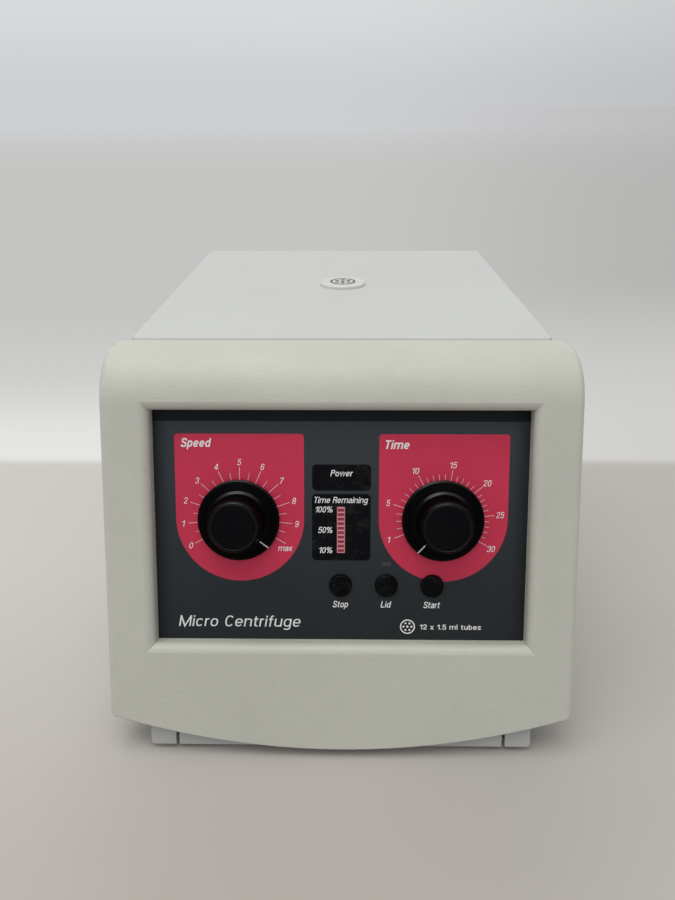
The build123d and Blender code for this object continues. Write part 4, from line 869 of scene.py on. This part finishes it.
def figure(text, centre_x, centre_s):
    """Scale figures centred on a point."""
    height, digit_width, digit_gap, one_saving, margin = 2.95, 1.72, 0.25, 0.55, 0.1
    wide = digit_width * len(text) + digit_gap * (len(text) - 1)
    if text[0] == "1":
        wide -= one_saving
    reach = wide / 2 + margin
    return word(text, centre_x - reach, centre_x + reach, centre_s - height / 2, height,
                weight=0.105, slant=0.18, gap=0.14)


# ---------------------------------------------------------------- red fields
# Behind the two knobs: square shoulders above, a half circle below.
KNOB_X, KNOB_S, SHAFT_HOLE = 49.1, 113.4, 6.6
KEY_X, KEY_S, KEY_HOLE = 44.6, 80.8, 5.75  # the round key below the right field
FIELD_R, FIELD_TOP, FIELD_MID, FIELD_CORNER = 31.0, 155.0, 114.0, 1.6


def key_notch(centre_x):
    """Arc of the key's hole between its two crossings with the field's circle."""
    to_x, to_s = KEY_X - centre_x, KEY_S - FIELD_MID
    distance = math.hypot(to_x, to_s)
    along = (FIELD_R ** 2 - KEY_HOLE ** 2 + distance * distance) / (2 * distance)
    across = math.sqrt(FIELD_R ** 2 - along * along)
    chord_x = centre_x + to_x * along / distance
    chord_s = FIELD_MID + to_s * along / distance
    ends = sorted((chord_x - side * across * to_s / distance,
                   chord_s + side * across * to_x / distance) for side in (1, -1))
    start, end = (math.degrees(math.atan2(s - KEY_S, x - KEY_X)) for x, s in ends)
    return arc(KEY_X, KEY_S, KEY_HOLE, start, end, 8)


def field(centre_x):
    """Outline of a field, notched where it meets the key's hole."""
    shoulder, shoulder_s = FIELD_R - FIELD_CORNER, FIELD_TOP - FIELD_CORNER
    points = (arc(centre_x - shoulder, shoulder_s, FIELD_CORNER, 90, 180, 15)
              + arc(centre_x, FIELD_MID, FIELD_R, 180, 360, 2.0)
              + arc(centre_x + shoulder, shoulder_s, FIELD_CORNER, 0, 90, 15))
    inside = [i for i, point in enumerate(points)
              if math.dist(point, (KEY_X, KEY_S)) < KEY_HOLE]
    if inside:
        points[inside[0]:inside[-1] + 1] = key_notch(centre_x)
    return points


for name, centre_x, knob_x in (("speed_field", -48.6, -KNOB_X), ("time_field", 49.35, KNOB_X)):
    outline = slab(field(centre_x), circle(knob_x, KNOB_S, SHAFT_HOLE), thick=RED_THICK)
    printed(name, [outline], ON_FILM, INK_RED)

# ---------------------------------------------------------------- scales
TICK_INNER = 18.2
LONG_WIDTH = 0.26

# speed: 0 to 9 and max, long ticks at the figures and short ones between
SPEED_X, SPEED_S = -48.55, 113.85
SPEED_START = -119.2  # degrees clockwise from up; the scale ends at the mirrored angle
SPEED_STEP = -2 * SPEED_START / 10
SPEED_FIGURES_R = 27.55

ticks = [tick(SPEED_X, SPEED_S, SPEED_START + SPEED_STEP * i, TICK_INNER, 25.2, LONG_WIDTH)
         for i in range(11)]
ticks += [tick(SPEED_X, SPEED_S, SPEED_START + SPEED_STEP * (i + 0.5), TICK_INNER, 22.7, 0.22)
          for i in range(10)]
printed("speed_scale_ticks", [slab(outline) for outline in ticks], ON_RED, INK_TICK)
marks = []
for i in range(10):
    angle = math.radians(SPEED_START + SPEED_STEP * i)
    marks += figure(str(i), SPEED_X + SPEED_FIGURES_R * math.sin(angle),
                    SPEED_S + SPEED_FIGURES_R * math.cos(angle))
marks += word("max", -30.35, -23.3, foot=97.9, height=2.9, weight=0.12, slant=0.18)
printed("speed_scale_figures", marks, ON_RED, INK_WHITE)
printed("speed_word", word("Speed", -76.4, -61.8, foot=148.65, height=4.2, weight=0.165,
                           gap=0.11), ON_RED, INK_WHITE)

# time: a short tick for every minute, long ones at the figures
TIME_X, TIME_S = 49.15, 113.4
# minute, angle in degrees clockwise from up, x and s of the figure's centre
TIME_DIAL = (
    (1, -110.9, 23.45, 103.7), (5, -72.2, 22.9, 121.8), (10, -28.9, 35.85, 137.4),
    (15, 10.2, 53.85, 140.25), (20, 48.6, 70.1, 131.6), (25, 84.3, 76.7, 116.1),
    (30, 120.4, 72.7, 99.4),
)


def time_angle(value):
    """Dial angle of a minute, straight between the figures."""
    for (minute0, angle0, *_), (minute1, angle1, *_) in zip(TIME_DIAL, TIME_DIAL[1:]):
        if minute0 <= value <= minute1:
            return angle0 + (angle1 - angle0) * (value - minute0) / (minute1 - minute0)


figured = [row[0] for row in TIME_DIAL]
ticks = []
for minute in range(1, 31):
    outer, width = (24.9, LONG_WIDTH) if minute in figured else (22.4, 0.21)
    ticks.append(tick(TIME_X, TIME_S, time_angle(minute), TICK_INNER, outer, width))
printed("time_scale_ticks", [slab(outline) for outline in ticks], ON_RED, INK_TICK)
marks = []
for minute, _, x, s in TIME_DIAL:
    marks += figure(str(minute), x, s)
printed("time_scale_figures", marks, ON_RED, INK_WHITE)
printed("time_word", word("Time", 21.4, 32.7, foot=147.9, height=4.2, weight=0.165, gap=0.11),
        ON_RED, INK_WHITE)

# ---------------------------------------------------------------- other lettering
# Columns: text, left x, right x, foot s, capital height, stroke weight.
POWER_WORD = [("Power", -5.0, 5.9, 134.7, 3.0, 0.135)]
REMAINING_WORDS = [
    ("Time Remaining", -12.55, 13.2, 121.7, 2.95, 0.13),
    ("100%", -12.0, -3.9, 117.1, 2.9, 0.125),
    ("50%", -10.9, -4.0, 107.0, 2.9, 0.125),
    ("10%", -10.3, -4.0, 97.0, 2.9, 0.125),
]
KEY_CAPTIONS = [
    ("Stop", -3.75, 3.75, 69.75, 3.2, 0.14),
    ("Lid", 19.6, 24.9, 69.75, 3.2, 0.14),
    ("Start", 40.6, 48.7, 69.6, 3.2, 0.14),
]
FOOT_CAPTION = [("Micro Centrifuge", -79.6, -19.6, 59.7, 5.5, 0.105)]
TUBES_CAPTION = [("12 x 1.5 ml tubes", 38.9, 68.9, 58.75, 2.5, 0.14)]

printed("power_word", words(POWER_WORD), ON_WINDOW, INK_WHITE)
printed("remaining_words", words(REMAINING_WORDS), ON_WINDOW, INK_WHITE)
printed("key_captions", words(KEY_CAPTIONS, gap=0.11), ON_FILM, INK_WHITE)
printed("foot_caption", words(FOOT_CAPTION, slant=0.14, gap=0.13), ON_FILM, INK_PALE)

# a ring round six dots and a centre dot, with its caption
PICTO_X, PICTO_S = 32.9, 60.1
picto = [slab(circle(PICTO_X, PICTO_S, 3.65, 5), circle(PICTO_X, PICTO_S, 3.1, 5))]
for x, s in arc(PICTO_X, PICTO_S, 1.95, 0, 300, 60):
    picto.append(slab(circle(x, s, 0.5, 30)))
picto.append(slab(circle(PICTO_X, PICTO_S, 0.55, 30)))
printed("rotor_pictogram", picto + words(TUBES_CAPTION, slant=0.0, gap=0.13), ON_FILM,
        INK_WHITE)

# ---------------------------------------------------------------- knob pointers
# radius from the knob's axis, height above the film
POINTER_PROFILE = (
    (14.3, 4.68), (14.6, 4.4), (15.7, 4.0), (16.8, 3.6),
    (17.9, 3.2), (19.0, 2.8), (19.35, 2.45), (19.68, 2.12),
)
POINTER_HALF, POINTER_SINK, POINTER_RISE = 0.27, -0.03, 0.05


def knob_pointer(name, knob_x, angle, body):
    """White line down the skirt's cone and over its rim, angle degrees clockwise from up."""
    sine, cosine = math.sin(math.radians(angle)), math.cos(math.radians(angle))
    section = ((-POINTER_HALF, POINTER_SINK), (POINTER_HALF, POINTER_SINK),
               (POINTER_HALF, POINTER_RISE), (-POINTER_HALF, POINTER_RISE))
    bm = bmesh.new()
    rows = []
    for i, (radius, height) in enumerate(POINTER_PROFILE):
        before = POINTER_PROFILE[max(i - 1, 0)]
        after = POINTER_PROFILE[min(i + 1, len(POINTER_PROFILE) - 1)]
        length = math.dist(before, after)
        normal_r = (before[1] - after[1]) / length
        normal_h = (after[0] - before[0]) / length
        row = []
        for offset, lift in section:
            reach = radius + normal_r * lift
            row.append(bm.verts.new(((knob_x + sine * reach + cosine * offset) * MM,
                                     (KNOB_S + cosine * reach - sine * offset) * MM,
                                     (height + normal_h * lift) * MM)))
        rows.append(row)
    for row, following in zip(rows, rows[1:]):
        for k in range(4):
            j = (k + 1) % 4
            bm.faces.new((row[k], row[j], following[j], following[k]))
    bm.faces.new(rows[0])
    bm.faces.new(rows[-1])
    add_piece(name, bm, POINTER, body, FACE)


knob_pointer("speed_pointer", -KNOB_X, 133.0, "speed_control")
knob_pointer("time_pointer", KNOB_X, -142.6, "time_control")

# ---------------------------------------------------------------- bar display
BAR_X0, BAR_X1, BAR_S0, BAR_S1 = -1.75, 2.0, 97.15, 119.8
BAR_RIM = 0.3
CELLS, CELL_START, CELL_HEIGHT = 10, 0.42, 1.45
CELL_MARGIN = 0.5  # height of the frame left over by the ten pitches

cell_outlines = []
for i in range(CELLS):
    foot = BAR_S0 + CELL_START + i * (BAR_S1 - BAR_S0 - CELL_MARGIN) / CELLS
    cell_outlines.append(rounded(BAR_X0 + BAR_RIM, foot, BAR_X1 - BAR_RIM, foot + CELL_HEIGHT,
                                 radius=0.12))
bar_outline = rounded(BAR_X0, BAR_S0, BAR_X1, BAR_S1, radius=0.2)
printed("bar_frame", [slab(bar_outline, *cell_outlines)], ON_WINDOW + 0.01, BAR_FRAME)
printed("bar_segments", [slab(outline, thick=0.03) for outline in cell_outlines],
        ON_WINDOW + 0.01, BAR_LIT)

# ---------------------------------------------------------------- badge mark
# The same ring and dots, on top of the lid's badge.
BADGE_THICK = 0.06
badge_low, badge_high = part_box("lid_badge")
mark = [slab(circle(0, 0, 8.0, 4), circle(0, 0, 6.6, 4), thick=BADGE_THICK)]
for x, y in arc(0, 0, 4.1, 30, 330, 60):
    mark.append(slab(circle(x, y, 1.35, 15), thick=BADGE_THICK))
mark.append(slab(circle(0, 0, 1.5, 12), thick=BADGE_THICK))
badge_centre = ((badge_low.x + badge_high.x) / 2, (badge_low.y + badge_high.y) / 2, badge_high.z)
printed("badge_mark", mark, 0.0, INK_GREY, body="lid",
        place=Matrix.Translation(badge_centre))

# ---------------------------------------------------------------- floor
BACK_Y = 0.144  # where the floor gives way to the backdrop
FLOOR_RADII = (0.3, 0.6, 1.2, 2.5, 5.0, 12.0, 40.0)
FLOOR_SIDES = 64


def floor_mesh():
    """A flat disc of concentric rings."""
    bm = bmesh.new()
    rings = [[bm.verts.new((radius * math.cos(math.tau * k / FLOOR_SIDES),
                            radius * math.sin(math.tau * k / FLOOR_SIDES), 0))
              for k in range(FLOOR_SIDES)] for radius in FLOOR_RADII]
    centre = bm.verts.new((0, 0, 0))
    for k in range(FLOOR_SIDES):
        bm.faces.new((centre, rings[0][k], rings[0][(k + 1) % FLOOR_SIDES]))
    for inner, outer in zip(rings, rings[1:]):
        for k in range(FLOOR_SIDES):
            j = (k + 1) % FLOOR_SIDES
            bm.faces.new((inner[k], outer[k], outer[j], inner[j]))
    mesh = bpy.data.meshes.new("stage_floor")
    bm.to_mesh(mesh)
    bm.free()
    return mesh


def floor_material():
    """Pale floor near the object, painted darker towards the camera and to the right, with a
    painted shadow under the object's front; past BACK_Y the camera sees a glowing backdrop
    instead, its brightness painted in.
    """
    net = Finish("stage_floor")
    xyz = net.split()
    y = net.plus(xyz[1], net.cloud(scale=3, detail=3, rough=0.6, to=(-0.003, 0.003)))

    def depth_blend(start, end, under, over):
        share = net.remap(y, band=(start, end), smooth=True)
        return net.mix(share, under, over)

    # how far to the right of the view a point lies
    side = net.remap(net.math("DIVIDE", xyz[0], net.plus(xyz[1], 0.42)), band=(-0.05, 0.5),
                     smooth=True)
    # painted shade: the floor is painted darker towards the camera
    near = depth_blend(-0.34, 0.02, srgb(180, 174, 168), srgb(208, 205, 199))
    # painted shade: the floor is painted darker towards the right of the view
    near = net.mix(net.times(side, 0.8), near, srgb(184, 181, 175))
    mottle = net.cloud(scale=9, detail=4, rough=0.6, to=(0.0, 0.1))
    near = net.mix(mottle, near, srgb(214, 211, 206))
    # a soft dark oval under the object's front
    spread = net.plus(net.math("POWER", net.times(xyz[0], 6.0), 2.0),
                      net.math("POWER", net.times(net.plus(xyz[1], 0.17), 9.5), 2.0))
    shadow = net.remap(spread, band=(1.0, 0.0), to=(0.0, 0.20), smooth=True)
    near = net.mix(shadow, near, srgb(146, 141, 136))
    net.done(base=near, rough=net.cloud(scale=18, detail=4, rough=0.6, to=(0.62, 0.74)),
             spec=0.25,
             normal=net.bump(net.noise(scale=700, detail=3, rough=0.6), 0.02))

    # backdrop colours going back, then a dimmer set for the right side: the backdrop glows for the
    # camera with painted light, and painted shade makes it dimmer on the right
    past = net.remap(y, band=(BACK_Y, BACK_Y + 0.018), smooth=True)
    far = depth_blend(BACK_Y + 0.02, BACK_Y + 0.24, srgb(229, 229, 227), srgb(205, 205, 203))
    far = depth_blend(BACK_Y + 0.20, BACK_Y + 0.5, far, srgb(196, 196, 194))
    far = depth_blend(1.6, 9.0, far, srgb(205, 206, 208))
    dim = depth_blend(BACK_Y + 0.02, 0.9, srgb(208, 207, 204), srgb(181, 181, 180))
    dim = depth_blend(1.5, 9.0, dim, srgb(189, 189, 190))
    glow = net.add("ShaderNodeEmission", {"Color": net.mix(side, far, dim)}).outputs[0]
    seen = net.add("ShaderNodeLightPath").outputs["Is Camera Ray"]
    blend = net.add("ShaderNodeMixShader",
                    {0: net.times(past, seen), 1: net.shader.outputs["BSDF"], 2: glow})
    net.link(blend.outputs[0], net.surface)
    return net.owner


stage_mesh = floor_mesh()
stage_mesh.materials.append(floor_material())
add_object("stage_floor", stage_mesh)


# ---------------------------------------------------------------- light
def overhead_light():
    """Large soft key light above, in front and to the left."""
    place, aim = Vector((-0.32, -0.30, 2.15)), Vector((0, 0, 0.05))
    light = bpy.data.lights.new("key_overhead", "AREA")
    light.shape = "RECTANGLE"
    light.size, light.size_y = 1.8, 1.3
    light.energy = 16.5
    light.color = (1.0, 0.991, 0.958)
    lamp = add_object("key_overhead", light)
    lamp.location = place
    lamp.rotation_mode = "QUATERNION"
    lamp.rotation_quaternion = (aim - place).to_track_quat("-Z", "Y")


def studio_world():
    """Soft room light, with a separate backdrop for the camera, painted dimmer towards the right.
    """
    low, high = 0.315, 0.75  # strength near the horizon and overhead
    back, left = 0.11, 0.11  # strength added behind the object and to its left
    world = bpy.data.worlds.new("studio")
    bpy.context.scene.world = world
    net = Net(world)
    way = net.split(net.add("ShaderNodeTexCoord").outputs["Generated"])
    room = net.plus(net.remap(way[2], band=(0.12, 0.95), to=(low, high), smooth=True),
                    net.remap(way[1], band=(-0.1, 0.9), to=(0.0, back), smooth=True),
                    net.remap(way[0], band=(-0.9, 0.9), to=(left, 0.0), smooth=True))
    cool_below, warm_above = (0.97, 1.0, 1.19, 1), (1.0, 0.996, 0.965, 1)
    tint = net.mix(net.remap(way[2], band=(0.0, 0.8), smooth=True), cool_below, warm_above)
    lit = net.add("ShaderNodeBackground", {"Color": tint, "Strength": room})
    # what the camera sees, with painted shade dimming it towards the right
    shown = net.mix(net.remap(way[2], band=(0.0, 0.12), smooth=True),
                    srgb(205, 206, 208), srgb(217, 218, 220))
    side = net.math("DIVIDE", way[0], net.math("ABSOLUTE", way[1]))
    dimming = (0.86, 0.86, 0.855, 1)
    dimmed = net.mix(net.remap(side, band=(-0.05, 0.5), smooth=True), shown, dimming,
                     blend="MULTIPLY")
    seen = net.add("ShaderNodeBackground", {"Color": dimmed})
    camera_ray = net.add("ShaderNodeLightPath").outputs["Is Camera Ray"]
    blend = net.add("ShaderNodeMixShader",
                    {0: camera_ray, 1: lit.outputs[0], 2: seen.outputs[0]})
    net.add("ShaderNodeOutputWorld", {0: blend.outputs[0]})


overhead_light()
studio_world()

# ---------------------------------------------------------------- camera
YAW, PITCH, ROLL = (math.radians(angle) for angle in (-0.86859, 27.28390, -0.21341))
CAMERA_X, CAMERA_Y, CAMERA_Z = 2.7671, -380.564, 286.7557  # millimetres

forward = Vector((math.sin(YAW) * math.cos(PITCH), math.cos(YAW) * math.cos(PITCH),
                  -math.sin(PITCH)))
level_right = forward.cross(Vector((0, 0, 1))).normalized()
level_up = level_right.cross(forward)
right = level_right * math.cos(ROLL) + level_up * math.sin(ROLL)
upward = level_up * math.cos(ROLL) - level_right * math.sin(ROLL)

camera_data = bpy.data.cameras.new("camera")
camera_data.sensor_fit = "AUTO"
camera_data.sensor_width = 36.0
camera_data.lens = 27.085268
camera_data.clip_start, camera_data.clip_end = 0.01, 100.0
camera = add_object("camera", camera_data)
camera.matrix_world = Matrix((
    (right.x, upward.x, -forward.x, CAMERA_X * MM),
    (right.y, upward.y, -forward.y, CAMERA_Y * MM),
    (right.z, upward.z, -forward.z, CAMERA_Z * MM),
    (0, 0, 0, 1),
))

scene = bpy.context.scene
scene.camera = camera
scene.view_settings.view_transform = "Standard"
scene.view_settings.look = "None"
scene.view_settings.exposure = 0.0
